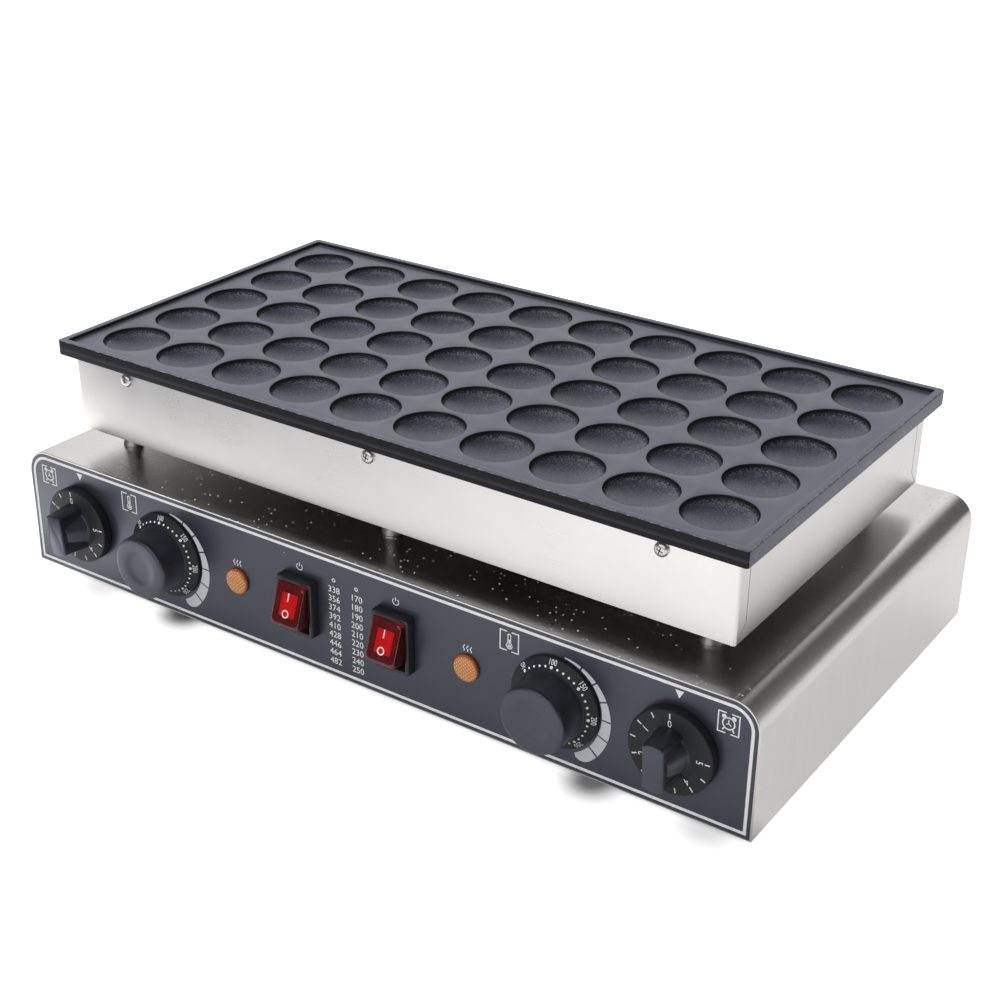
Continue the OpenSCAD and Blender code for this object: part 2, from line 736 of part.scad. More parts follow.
module base_plate() color([0.72, 0.72, 0.72]) {
  difference() {
    translate([-base_w / 2 + seam_gap, y_front + seam_gap, z_base0])
      cube([base_w - 2 * seam_gap, base_d - 2 * seam_gap, base_plate_t]);
    base_screw_holes(z_base0, base_plate_t, screw_gap);
    for (x = foot_xs, y = foot_ys) translate([x, y, z_base0 - cut])
      cylinder(h = base_plate_t + 2 * cut, d = foot_screw_d + 2 * screw_gap);
    for (k = [-4 : 4]) translate([k * 16, base_mid_y, z_base0 - cut]) linear_extrude(base_plate_t + 2 * cut)
      rounded_rect(5, 60, 2.49);
    translate([earth_x, block_y, z_base0 - cut])
      cylinder(h = base_plate_t + 2 * cut, d = earth_stud_d + 2 * screw_gap);
    at_block_screws() translate([0, 0, z_base0 - cut])
      cylinder(h = base_plate_t + 2 * cut, d = case_screw_d + 2 * thread_gap);
  }
}

module base_screws() color("silver") {
  for (p = base_screw_places) translate([p[0], p[1], z_base0]) rotate([180, 0, 0])
    pan_screw(case_screw_d, case_screw_l);
}

module rubber_feet() color([0.1, 0.1, 0.1]) {
  ledge = foot_h * 0.45;
  for (x = foot_xs, y = foot_ys) translate([x, y, 0]) rotate_extrude()
    polygon([[head_r(foot_screw_d) + 1, 0], [foot_d / 2 - 1, 0], [foot_d / 2, 1],
             [foot_d / 2 + 1.5, foot_h],
             [foot_screw_d / 2 + screw_gap, foot_h], [foot_screw_d / 2 + screw_gap, ledge],
             [head_r(foot_screw_d) + 1, ledge]]);
}

module foot_screws() color("silver") {
  ledge = foot_h * 0.45;
  for (x = foot_xs, y = foot_ys) translate([x, y, ledge]) rotate([180, 0, 0])
    pan_screw(foot_screw_d, foot_h - ledge + base_plate_t + nut_h(foot_screw_d) + 1.5);
}

// Nuts on the foot screws and on the earth stud
module case_nuts() color("silver") {
  for (x = foot_xs, y = foot_ys) translate([x, y, z_shell0]) hex_nut(foot_screw_d, thread_gap);
  translate([earth_x, block_y, z_shell0]) hex_nut(foot_screw_d, thread_gap);
}

// Cable gland: thread through the rear panel, hexagon flange and domed cap, one bore from end to end
module cable_gland() color([0.1, 0.1, 0.1]) {
  flange_r = gland_thread_d / 2 + 4;
  on_rear(gland_x, z_control) difference() {
    union() {
      translate([0, 0, -panel_t - gland_in]) cylinder(h = panel_t + gland_in + cut, d = gland_thread_d);
      cylinder(h = gland_flange_h, r = flange_r, $fn = 6);
      translate([0, 0, gland_flange_h - cut]) rotate_extrude()
        polygon([[0, 0], [gland_thread_d / 2 + 1, 0],
                 [gland_thread_d / 2 + 1, (gland_out - gland_flange_h) * 0.5],
                 [gland_bore_d / 2 + 2.5, gland_out - gland_flange_h + cut],
                 [0, gland_out - gland_flange_h + cut]]);
    }
    translate([0, 0, -panel_t - gland_in - cut])
      cylinder(h = panel_t + gland_in + gland_out + 2 * cut, d = gland_bore_d);
  }
}

module gland_locknut() color([0.1, 0.1, 0.1]) {
  on_rear(gland_x, z_control) translate([0, 0, -panel_t - locknut_h]) difference() {
    cylinder(h = locknut_h, r = gland_thread_d / 2 + 4, $fn = 6);
    translate([0, 0, -cut]) cylinder(h = locknut_h + 2 * cut, d = gland_thread_d + 2 * thread_gap);
  }
}

// Places of the two screws through the terminal block
module at_block_screws() {
  for (e = [-1, 1]) translate([gland_x + e * block_pole / 2, block_y, 0]) children();
}

module terminal_block() color([0.92, 0.9, 0.84]) {
  difference() {
    translate([gland_x - block_w / 2, block_y - block_d / 2, z_shell0]) cube([block_w, block_d, block_h]);
    for (k = [-1 : 1])
      translate([gland_x + k * block_pole, block_y - block_d / 2 - cut, z_shell0 + block_h / 2])
      rotate([-90, 0, 0]) cylinder(h = block_d + 2 * cut, d = lead_d + 2 * screw_gap);
    at_block_screws() translate([0, 0, z_shell0 - cut])
      cylinder(h = block_h + 2 * cut, d = case_screw_d + 2 * screw_gap);
  }
}

module terminal_screws() color("silver") {
  at_block_screws() translate([0, 0, z_shell0 + block_h]) pan_screw(case_screw_d, block_h + base_plate_t);
}

// Earth stud: a bolt through the base plate, head below
module earth_stud() color([0.8, 0.65, 0.3]) {
  translate([earth_x, block_y, 0]) {
    translate([0, 0, z_base0 - head_h(earth_stud_d)])
      cylinder(h = head_h(earth_stud_d), d = hex_af(earth_stud_d) / cos(30), $fn = 6);
    translate([0, 0, z_base0 - cut]) cylinder(h = earth_stud_l, d = earth_stud_d);
  }
}

// A control shaft with a flat at its tip, out of the panel along Z, enlarged by gap all round
module control_shaft(gap) {
  r = shaft_d / 2 + gap;
  difference() {
    translate([0, 0, -panel_back - shaft_in]) cylinder(h = panel_back + shaft_in + shaft_out + gap, r = r);
    translate([-r, shaft_d / 2 - shaft_flat + gap, knob_gap + skirt_h]) cube([2 * r, r, shaft_out]);
  }
}

// Holes in a timer or thermostat for its shaft and the two screws that hold it to the panel
module control_bores() {
  translate([0, 0, -panel_back - shaft_in - 0.2]) cylinder(h = shaft_in + cut, d = shaft_d + 2 * run_gap);
  for (e = [-1, 1]) translate([e * control_screw_r, 0, -case_screw_l - cut])
    cylinder(h = case_screw_l + 2 * cut, d = case_screw_d + 2 * thread_gap);
}

// Clockwork timer: square case with a round bell at the back
module timer() {
  difference() {
    union() {
      translate([0, 0, -panel_back - timer_depth]) linear_extrude(timer_depth)
        rounded_rect(timer_case, timer_case, 3);
      translate([0, 0, -panel_back - timer_depth - 6])
        cylinder(h = 7, d1 = timer_case * 0.7, d2 = timer_case * 0.85);
    }
    control_bores();
  }
}

module timer_left() color([0.85, 0.85, 0.82]) on_panel(-timer_x, z_control) timer();
module timer_right() color([0.85, 0.85, 0.82]) on_panel(timer_x, z_control) timer();
module timer_shaft_left() color("silver") on_panel(-timer_x, z_control)
  rotate(timer_left_turn) control_shaft(0);
module timer_shaft_right() color("silver") on_panel(timer_x, z_control)
  rotate(timer_right_turn) control_shaft(0);

// Timer knob: hollow round skirt, a slim hub and an upright grip bar with rounded ends
module timer_knob() {
  r = timer_skirt_d / 2;
  top = knob_gap + timer_skirt_h;
  difference() {
    union() {
      rotate_extrude() polygon([[0, knob_gap], [knob_boss_d / 2, knob_gap],
                                [knob_boss_d / 2, top - skirt_wall],
        [r - skirt_wall, top - skirt_wall], [r - skirt_wall, knob_gap], [r, knob_gap], [r, top - 0.8],
        [r - 0.8, top], [hub_d / 2 + 1.5, top], [hub_d / 2, top + 1], [bar_w / 2 + 1, timer_knob_h - 4],
        [0, timer_knob_h - 4]]);
      translate([0, 0, top - skirt_wall]) linear_extrude(timer_knob_h - top + skirt_wall) intersection() {
        circle(d = bar_l);
        square([bar_w, bar_l], center = true);
      }
    }
    control_shaft(press_gap);
  }
}

module timer_knob_left() color([0.16, 0.16, 0.17]) on_panel(-timer_x, z_control)
  rotate(timer_left_turn) timer_knob();
module timer_knob_right() color([0.16, 0.16, 0.17]) on_panel(timer_x, z_control)
  rotate(timer_right_turn) timer_knob();

// Capillary thermostat: case with a mounting plate against the panel
module thermostat() {
  difference() {
    union() {
      translate([0, 0, -panel_back - thermostat_depth]) linear_extrude(thermostat_depth)
        rounded_rect(thermostat_w, thermostat_l, 2);
      translate([0, 0, -panel_back - 1.5]) linear_extrude(1.5) rounded_rect(thermostat_w + 8, 16, 3);
    }
    control_bores();
  }
}

module thermostat_left() color([0.75, 0.73, 0.68]) on_panel(-thermostat_x, z_control) thermostat();
module thermostat_right() color([0.75, 0.73, 0.68]) on_panel(thermostat_x, z_control) thermostat();
module thermostat_shaft_left() color("silver") on_panel(-thermostat_x, z_control) control_shaft(0);
module thermostat_shaft_right() color("silver") on_panel(thermostat_x, z_control) control_shaft(0);

// Thermostat knob: hollow sloping skirt for the scale, round grip with a dished end
module thermostat_knob() {
  r = thermostat_skirt_d / 2;
  g = thermostat_grip_d / 2;
  top = knob_gap + skirt_h;
  difference() {
    rotate_extrude() polygon([[0, knob_gap], [knob_boss_d / 2, knob_gap],
                              [knob_boss_d / 2, top - skirt_wall],
      [g - skirt_wall / 2, top - skirt_wall], [r - skirt_wall, knob_gap], [r, knob_gap],
      [r, knob_gap + skirt_edge], [g, top], [g - 0.5, thermostat_knob_h - 2],
      [g - 1.1, thermostat_knob_h - 0.6], [g - 2.5, thermostat_knob_h], [g * 0.62, thermostat_knob_h - 0.3],
      [g * 0.45, thermostat_knob_h - grip_dish], [0, thermostat_knob_h - grip_dish]]);
    control_shaft(press_gap);
  }
}

module thermostat_knob_left() color([0.16, 0.16, 0.17])
  on_panel(-thermostat_x, z_control) thermostat_knob();
module thermostat_knob_right() color([0.16, 0.16, 0.17])
  on_panel(thermostat_x, z_control) thermostat_knob();

// Sensing bulb under the plate and the capillary tube down the conduit to the thermostat, on the +X side
module capillary() {
  back_y = y_front + panel_back + thermostat_depth;
  bulb_in = bulb_x - bulb_l / 2;
  conduit_y = deck_y + conduit_back;
  translate([bulb_in, deck_y, z_bulb]) rotate([0, 90, 0]) cylinder(h = bulb_l, d = bulb_d);
  wire([[thermostat_x, back_y, z_control], [thermostat_x, back_y + 30, z_control],
        [60, conduit_y - 30, z_control + 10],
        [6.5, conduit_y, z_control + 20], [6.5, conduit_y, z_mat + mat_t + 6],
        [element_in_x - 8, deck_y + 6, z_clamp - 4], [bulb_in - 6, deck_y, z_bulb],
        [bulb_in + 2, deck_y, z_bulb]],
       capillary_d);
}

module capillary_left() color([0.72, 0.45, 0.3]) mirror([1, 0, 0]) capillary();
module capillary_right() color([0.72, 0.45, 0.3]) capillary();

module control_screws() color("silver") {
  for (s = [-1, 1], x = [timer_x, thermostat_x], e = [-1, 1])
    on_panel(s * x + e * control_screw_r, z_control) pan_screw(case_screw_d, case_screw_l);
}

// Switch housing: bezel in front of the panel, case behind, open cavity with two pivot bores
module switch_housing() {
  difference() {
    union() {
      linear_extrude(bezel_h) rounded_rect(bezel_w, bezel_l, 1.5);
      translate([0, 0, -switch_depth])
        linear_extrude(switch_depth + cut) square([case_w, case_l], center = true);
    }
    translate([0, 0, -cavity_depth]) linear_extrude(cavity_depth + bezel_h + cut)
      square([cavity_w, cavity_l], center = true);
    translate([-cavity_w / 2 - bezel_side / 2 - run_gap, 0, rocker_pivot]) rotate([0, 90, 0])
      cylinder(h = cavity_w + bezel_side + 2 * run_gap, d = rocker_pin_d + 2 * run_gap);
  }
}

module switch_housing_left() color([0.1, 0.1, 0.11]) on_panel(-switch_x, switch_z) switch_housing();
module switch_housing_right() color([0.1, 0.1, 0.11]) on_panel(switch_x, switch_z) switch_housing();

// Local frame of a rocker: Z along its face's normal, origin on the pivot, upper end pressed in
module on_rocker(x) {
  on_panel(x, switch_z) translate([0, 0, rocker_pivot]) rotate([-rocker_tilt, 0, 0]) children();
}

// Clear rocker moulding, hollow behind its face, with a pivot pin on each side
module rocker() {
  pin_l = bezel_side / 2;
  difference() {
    union() {
      translate([0, 0, rocker_foot])
        linear_extrude(rocker_h - rocker_foot) rounded_rect(rocker_w, rocker_l, 2.4);
      for (s = [0, 1]) mirror([s, 0, 0]) translate([rocker_w / 2 - rocker_wall, 0, 0]) rotate([0, 90, 0]) {
        cylinder(h = rocker_wall, d = rocker_pin_d + 3);
        cylinder(h = rocker_wall + rocker_gap + pin_l, d = rocker_pin_d);
      }
    }
    translate([0, 0, -rocker_pin_d]) linear_extrude(rocker_h - rocker_face + rocker_pin_d)
      square([rocker_w - 2 * rocker_wall, rocker_l - 2 * rocker_wall], center = true);
  }
}

module rocker_left() color([0.65, 0.05, 0.05]) on_rocker(-switch_x) rocker();
module rocker_right() color([0.65, 0.05, 0.05]) on_rocker(switch_x) rocker();

// Bright core behind the rocker's face, which carries the marks
module rocker_core() {
  inner_w = rocker_w - 2 * (rocker_wall + core_gap);
  inner_l = rocker_l - 2 * (rocker_wall + core_gap);
  translate([-inner_w / 2, -inner_l / 2, rocker_foot + 1])
    cube([inner_w, inner_l, rocker_h - rocker_face - core_gap - rocker_foot - 1]);
}

module rocker_core_left() color([0.85, 0.08, 0.06]) on_rocker(-switch_x) rocker_core();
module rocker_core_right() color([0.85, 0.08, 0.06]) on_rocker(switch_x) rocker_core();

// Push-on terminals at the backs of switches, timers and thermostats
module spade_terminals() color([0.85, 0.7, 0.35]) {
  blade_w = 6.3;
  blade_t = 0.8;
  blade_l = 10;
  for (s = [-1, 1]) {
    on_panel(s * switch_x, switch_z) for (x = [-6, 6], y = [-9, 9])
      translate([x - blade_t / 2, y - blade_w / 2, -switch_depth - blade_l])
        cube([blade_t, blade_w, blade_l]);
    on_panel(s * timer_x, z_control) for (x = [-1, 1])
      translate([x * (timer_case / 2 - 3), timer_case / 2 - 12, -panel_back - timer_depth - blade_l])
        cube([blade_t, blade_w, blade_l]);
    on_panel(s * thermostat_x, z_control) for (x = [-12, 12])
      translate([x, thermostat_l / 2 - 12, -panel_back - thermostat_depth - blade_l])
        cube([blade_t, blade_w, blade_l]);
  }
}

// Lamp lens: low domed cap with a stem through the panel
module lamp_lens() {
  r = lamp_d / 2;
  rotate_extrude() polygon([[0, 2 - lamp_sleeve_l], [lamp_stem_d / 2, 2 - lamp_sleeve_l],
                            [lamp_stem_d / 2, 0], [r, 0],
    [r, lamp_h * 0.5], [r - 0.5, lamp_h * 0.8], [r - 1.6, lamp_h], [0, lamp_h]]);
}

// Sleeve pushed over the stem from behind, which holds the lens to the panel
module lamp_body() {
  r = lamp_stem_d / 2 + thread_gap;
  rotate_extrude() polygon([[r, -panel_back], [r + 2, -panel_back], [r + 2, -panel_back - lamp_sleeve_l],
    [0, -panel_back - lamp_sleeve_l], [0, 1 - lamp_sleeve_l], [r, 1 - lamp_sleeve_l]]);
}

module lamp_lens_left() color([0.9, 0.45, 0.1]) on_panel(-lamp_x, z_control) lamp_lens();
module lamp_lens_right() color([0.9, 0.45, 0.1]) on_panel(lamp_x, z_control) lamp_lens();
module lamp_body_left() color([0.9, 0.9, 0.88]) on_panel(-lamp_x, z_control) lamp_body();
module lamp_body_right() color([0.9, 0.9, 0.88]) on_panel(lamp_x, z_control) lamp_body();

// Leads from the heaters' pins down the conduit to the switches
module heater_leads() color([0.85, 0.83, 0.75]) {
  pin_x = element_in_x - element_pin_l;
  conduit_y = deck_y + conduit_back;
  z_turn = z_mat + mat_t + 9;
  switch_back = y_front + switch_depth + 10;
  for (s = [-1, 1], e = [-1, 1])
    wire([[s * pin_x, deck_y + e * 1.5 * run_pitch, z_element],
          [s * (pin_x - 8), deck_y + e * 1.5 * run_pitch, z_element],
          [s * (pin_x - 12), deck_y + e * 1.5 * run_pitch - e * 12, z_turn],
          [s * 2.5, conduit_y + e * 5, z_turn], [s * 2.5, conduit_y + e * 5, z_control + 26],
          [s * (10 + 4 * e), conduit_y - 60, z_control + 6 * e],
          [s * switch_x + 6, switch_back + 12, switch_z + 9 * e],
          [s * switch_x + 6, switch_back, switch_z + 9 * e]],
         lead_d);
}

// Leads from the terminal block to the two switches, and one to the earth stud
module mains_leads() color([0.55, 0.35, 0.2]) {
  z_lead = z_shell0 + block_h / 2;
  y_lead = block_y - block_d / 2;
  switch_back = y_front + switch_depth + 10;
  wire([[gland_x - block_pole, y_lead + 6, z_lead], [gland_x - block_pole, y_lead - 4, z_lead],
        [earth_x, y_lead - 4, z_lead], [earth_x, block_y - earth_stud_d / 2, z_lead]], lead_d - 0.4);
  for (k = [0, 1]) {
    x = (2 * k - 1) * switch_x - 6;
    wire([[gland_x + k * block_pole, y_lead + 6, z_lead], [gland_x + k * block_pole, y_lead - 14, z_lead],
          [x, switch_back + 8, z_lead], [x, switch_back + 8, switch_z - 9],
          [x, switch_back, switch_z - 9]], lead_d - 0.4);
  }
}

cooking_plate();
plate_screws();
heater_box_front();
heater_box_rear();
heater_box_left();
heater_box_right();
heater_box_floor();
insulation_mat();
heating_elements();
clamp_studs();
clamp_bars();
clamp_nuts();
bulb_clips();
standoff_posts();
post_bolts();
post_nuts();
wire_conduit();
base_shell();
front_panel();
panel_overlay();
rear_panel();
base_plate();
base_screws();
rubber_feet();
foot_screws();
case_nuts();
cable_gland();
gland_locknut();
terminal_block();
terminal_screws();
earth_stud();
timer_left();
timer_right();
timer_shaft_left();
timer_shaft_right();
timer_knob_left();
timer_knob_right();
thermostat_left();
thermostat_right();
thermostat_shaft_left();
thermostat_shaft_right();
thermostat_knob_left();
thermostat_knob_right();
capillary_left();
capillary_right();
control_screws();
switch_housing_left();
switch_housing_right();
rocker_left();
rocker_right();
rocker_core_left();
rocker_core_right();
spade_terminals();
lamp_lens_left();
lamp_lens_right();
lamp_body_left();
lamp_body_right();
heater_leads();
mains_leads();
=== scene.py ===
import math

import bmesh
import bpy
from mathutils import Matrix, Vector


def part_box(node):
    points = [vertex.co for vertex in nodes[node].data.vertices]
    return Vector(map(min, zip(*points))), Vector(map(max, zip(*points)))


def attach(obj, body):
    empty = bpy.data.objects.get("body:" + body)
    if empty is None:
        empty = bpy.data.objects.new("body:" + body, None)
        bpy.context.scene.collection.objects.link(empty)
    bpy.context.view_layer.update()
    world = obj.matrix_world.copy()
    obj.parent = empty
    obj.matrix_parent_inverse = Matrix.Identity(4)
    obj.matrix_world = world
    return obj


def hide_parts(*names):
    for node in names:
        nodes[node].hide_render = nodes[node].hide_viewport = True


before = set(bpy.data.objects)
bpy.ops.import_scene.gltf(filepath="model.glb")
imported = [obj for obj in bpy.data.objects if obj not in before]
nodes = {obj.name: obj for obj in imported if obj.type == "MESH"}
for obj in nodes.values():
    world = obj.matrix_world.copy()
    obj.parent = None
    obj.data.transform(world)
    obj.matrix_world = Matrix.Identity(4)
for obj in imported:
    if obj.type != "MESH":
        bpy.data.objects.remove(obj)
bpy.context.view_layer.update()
scene = bpy.context.scene

# Cooking plate: one aluminium casting with rows of shallow dimples inside a low rim, coated dark grey.
# It drops over the heater box on a rib and is held by screws from the side. The coat is slightly grainy,
# duller on steep walls and rubbed pale along the rim's edges. Its dimples carry a darker speckle of painted
# shade and painted glints, with a crescent of painted highlight at the back of each; steep faces have a
# painted shade.
MM = 0.001
plate_lo, plate_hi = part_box("cooking_plate")
plate_mid = (plate_lo + plate_hi) / 2 / MM
plate_half = ((plate_hi.x - plate_lo.x) / 2 / MM, (plate_hi.y - plate_lo.y) / 2 / MM)
rim_top = plate_hi.z / MM
rim_rise, dish_floor, dish_r = 2.5, -8.0, 69.0
field_z = rim_top - rim_rise
dimple_cols, dimple_rows, dimple_pitch = 10, 5, 50.0


def add(tree, kind, props=None, **sockets):
    """A shader or geometry node with its properties and inputs set; a socket as a value makes a link."""
    made = tree.nodes.new(kind)
    for key, value in (props or {}).items():
        setattr(made, key, value)
    for key, value in sockets.items():
        socket = made.inputs[int(key[1:])] if key[1:].isdigit() else made.inputs[key.replace("_", " ")]
        if isinstance(value, bpy.types.NodeSocket):
            tree.links.new(value, socket)
        else:
            socket.default_value = value
    return made


def finish(name, color, roughness, **sockets):
    """A material with one Principled shader; returns the material, its tree and the shader."""
    material = bpy.data.materials.new(name)
    material.use_nodes = True
    shader = material.node_tree.nodes["Principled BSDF"]
    shader.inputs["Base Color"].default_value = (*color, 1)
    shader.inputs["Roughness"].default_value = roughness
    for key, value in sockets.items():
        shader.inputs[key.replace("_", " ")].default_value = value
    return material, material.node_tree, shader


def place_of(tree, scale=(1, 1, 1), turn=(0, 0, 0)):
    """Object coordinates, stretched or turned, for a pattern."""
    where = add(tree, "ShaderNodeTexCoord").outputs["Object"]
    return add(tree, "ShaderNodeMapping", Vector=where, Scale=scale, Rotation=turn).outputs[0]


def axes(tree, where):
    """The three parts of a place."""
    return add(tree, "ShaderNodeSeparateXYZ", i0=where).outputs


def noise(tree, where, scale, detail=2.0, rough=0.5):
    """A cloudy pattern between nought and one."""
    made = add(tree, "ShaderNodeTexNoise", Vector=where, Scale=scale, Detail=detail, Roughness=rough)
    return made.outputs["Fac"]


def span(tree, value, low, high, to_low=0.0, to_high=1.0):
    """Maps a value's span onto another, clamped."""
    return add(tree, "ShaderNodeMapRange", i0=value, i1=low, i2=high, i3=to_low, i4=to_high).outputs[0]


def sums(tree, kind, a, b=0.0):
    """One sum of two values, or of one where the kind needs no other."""
    return add(tree, "ShaderNodeMath", {"operation": kind}, i0=a, i1=b).outputs[0]


def times(tree, a, b):
    return sums(tree, "MULTIPLY", a, b)


def tint(tree, factor, a, b):
    """Mixes two colours by a factor."""
    mixed = add(tree, "ShaderNodeMix", {"data_type": "RGBA"}, i0=factor)
    for index, color in ((6, a), (7, b)):
        if isinstance(color, bpy.types.NodeSocket):
            tree.links.new(color, mixed.inputs[index])
        else:
            mixed.inputs[index].default_value = (*color, 1)
    return mixed.outputs[2]


def colour(shader, value):
    shader.id_data.links.new(value, shader.inputs["Base Color"])


def dullness(shader, value):
    shader.id_data.links.new(value, shader.inputs["Roughness"])


def grain(shader, height, strength, distance):
    """A fine roughness of the surface from a pattern of heights."""
    bump = add(shader.id_data, "ShaderNodeBump", Height=height, Strength=strength, Distance=distance)
    shader.id_data.links.new(bump.outputs[0], shader.inputs["Normal"])


def rounded_ring(half_x, half_y, radius, z, per_side=24, per_corner=6):
    """Points of a round-cornered rectangle, counter-clockwise seen from above."""
    points = []
    for k, (sx, sy) in enumerate(((1, 1), (-1, 1), (-1, -1), (1, -1))):
        cx, cy = sx * (half_x - radius), sy * (half_y - radius)
        for i in range(per_corner + 1):
            a = math.radians(90 * k + 90 * i / per_corner)
            points.append(Vector((cx + radius * math.cos(a), cy + radius * math.sin(a), z)))
        nxt = ((-1, 1), (-1, -1), (1, -1), (1, 1))[k]
        a = math.radians(90 * (k + 1))
        start = points[-1]
        cx, cy = nxt[0] * (half_x - radius), nxt[1] * (half_y - radius)
        end = Vector((cx + radius * math.cos(a), cy + radius * math.sin(a), z))
        points += [start.lerp(end, i / per_side) for i in range(1, per_side)]
    return points


def skin(bm, rings, cap_first=False, cap_last=False):
    """Joins rings of equally many points by faces; returns the rings' vertices."""
    made = [[bm.verts.new(p) for p in ring] for ring in rings]
    for a, b in zip(made, made[1:]):
        for i in range(len(a)):
            j = (i + 1) % len(a)
            bm.faces.new((a[i], a[j], b[j], b[i]))
    if cap_first:
        bm.faces.new(made[0][::-1])
    if cap_last:
        bm.faces.new(made[-1])
    return made


def settle(name, bm, material, body, stands_for=(), place=None, crease=30):
    """Turns a bmesh in millimetres into a finished piece at the origin, smooth up to the crease angle."""
    bmesh.ops.recalc_face_normals(bm, faces=bm.faces)
    bmesh.ops.transform(bm, matrix=Matrix.Scale(MM, 4) @ (place or Matrix.Identity(4)), verts=bm.verts)
    mesh = bpy.data.meshes.new(name)
    bm.to_mesh(mesh)
    bm.free()
    return settle_mesh(name, mesh, material, body, stands_for, crease)


def settle_mesh(name, mesh, material, body, stands_for=(), crease=30):
    """Gives a mesh in metres its finish, its body and the CAD nodes that it stands for."""
    mesh.materials.clear()
    mesh.materials.append(material)
    mesh.polygons.foreach_set("material_index", [0] * len(mesh.polygons))
    mesh.shade_smooth()
    mesh.set_sharp_from_angle(angle=math.radians(crease))
    piece = bpy.data.objects.new(name, mesh)
    scene.collection.objects.link(piece)
    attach(piece, body)
    if stands_for:
        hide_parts(*stands_for)
    return piece


def tree_with(name, sockets):
    """An empty geometry tree with a geometry in and out and the named inputs."""
    tree = bpy.data.node_groups.new(name, "GeometryNodeTree")
    tree.interface.new_socket("Geometry", in_out="INPUT", socket_type="NodeSocketGeometry")
    tree.interface.new_socket("Geometry", in_out="OUTPUT", socket_type="NodeSocketGeometry")
    for label, kind in sockets.items():
        tree.interface.new_socket(label, in_out="INPUT", socket_type="NodeSocket" + kind)
    return tree, tree.nodes.new("NodeGroupInput").outputs, tree.nodes.new("NodeGroupOutput").inputs


def grown(tree, start, **values):
    """Runs a geometry tree on a start mesh and returns the result as a plain mesh."""
    holder = bpy.data.objects.new(tree.name, start)
    scene.collection.objects.link(holder)
    modifier = holder.modifiers.new(tree.name, "NODES")
    modifier.node_group = tree
    for item in tree.interface.items_tree:
        if item.in_out == "INPUT" and item.name in values:
            modifier[item.identifier] = values[item.name]
    evaluated = holder.evaluated_get(bpy.context.evaluated_depsgraph_get())
    mesh = bpy.data.meshes.new_from_object(evaluated)
    bpy.data.objects.remove(holder)
    return mesh


def seed_piece(name, bm):
    """A hidden helper object whose mesh a geometry tree repeats."""
    bmesh.ops.recalc_face_normals(bm, faces=bm.faces)
    mesh = bpy.data.meshes.new(name)
    bm.to_mesh(mesh)
    bm.free()
    piece = bpy.data.objects.new(name, mesh)
    scene.collection.objects.link(piece)
    return piece


plate_coat, tree, shader = finish("plate_coat", (0.060, 0.061, 0.080), 0.4, IOR=1.85,
                                  Specular_Tint=(0.78, 0.82, 1, 1))
where = place_of(tree)
speckle = noise(tree, where, 1000, 1.5, 0.6)
cloud = noise(tree, where, 14, 3)
height = axes(tree, where)
depth = span(tree, height[2], (field_z - 3.5) * MM, (field_z - 0.8) * MM, 1.0, 0.0)
coat = tint(tree, span(tree, cloud, 0.3, 0.7), (0.060, 0.061, 0.083), (0.068, 0.069, 0.094))
# Darker speckle in the dimples is painted shade.
shaded = times(tree, depth, span(tree, speckle, 0.40, 0.66, 1.0, 0.0))
coat_with_painted_light = tint(tree, shaded, coat, (0.050, 0.051, 0.068))
# Lighter specks in the dimples are painted glints.
painted_glint = times(tree, depth, span(tree, speckle, 0.60, 0.68))
coat_with_painted_light = tint(tree, painted_glint, coat_with_painted_light, (0.15, 0.15, 0.17))
# A crescent of painted highlight lies at the back of each dimple, found from its place in the tile.
off_y = sums(tree, "SUBTRACT", height[1], plate_mid.y * MM)
in_tile = sums(tree, "FRACT", sums(tree, "ADD", sums(tree, "DIVIDE", off_y, dimple_pitch * MM), 0.5))
painted_crescent_highlight = times(tree, span(tree, in_tile, 0.52, 0.90), span(tree, speckle, 0.48, 0.62))
coat_with_painted_light = tint(tree, times(tree, painted_crescent_highlight, depth), coat_with_painted_light, (0.17, 0.172, 0.20))
away_x = sums(tree, "SUBTRACT", plate_half[0] * MM, sums(tree, "ABSOLUTE", height[0]))
away_y = sums(tree, "SUBTRACT", plate_half[1] * MM, sums(tree, "ABSOLUTE", off_y))
border = sums(tree, "MINIMUM", away_x, away_y)
edge = span(tree, border, 0.0004, 0.0018, 1.0, 0.0)
high = span(tree, height[2], (rim_top - 0.8) * MM, (rim_top - 0.2) * MM)
chips = span(tree, noise(tree, place_of(tree, (1, 1, 2.5)), 300, 4, 0.75), 0.48, 0.60, 0.03, 1.0)
worn = times(tree, times(tree, edge, high), chips)
colour(shader, tint(tree, worn, coat_with_painted_light, (0.34, 0.33, 0.33)))
dullness(shader, span(tree, cloud, 0.3, 0.7, 0.36, 0.42))
grit = times(tree, speckle, sums(tree, "ADD", depth, 0.12))
grain(shader, grit, 0.14, 0.0005)
# A dark copy of the coat for steep faces: painted shade, lighter lower down, with painted glints on the
# dimple walls.
painted_shade_wall_coat, tree, shader = finish("plate_coat_on_walls", (0.012, 0.012, 0.014), 0.55, Specular_IOR_Level=0.2)
where = place_of(tree)
speckle = noise(tree, where, 1000, 1.5, 0.6)
height = axes(tree, where)
depth = span(tree, height[2], (field_z - 3.9) * MM, (field_z - 1.4) * MM, 1.0, 0.0)
depth = times(tree, depth, span(tree, height[2], (field_z - 4.6) * MM, (field_z - 4.2) * MM))
painted_wall_shade = tint(tree, depth, (0.009, 0.0092, 0.011), (0.034, 0.0345, 0.044))
inward = span(tree, height[1], plate_lo.y + 0.002, plate_lo.y + 0.004)
painted_glint = times(tree, span(tree, speckle, 0.48, 0.62), span(tree, depth, 0.2, 0.9))
painted_glint = times(tree, painted_glint, inward)
colour(shader, tint(tree, painted_glint, painted_wall_shade, (0.17, 0.17, 0.19)))
grain(shader, times(tree, speckle, inward), 0.2, 0.0005)

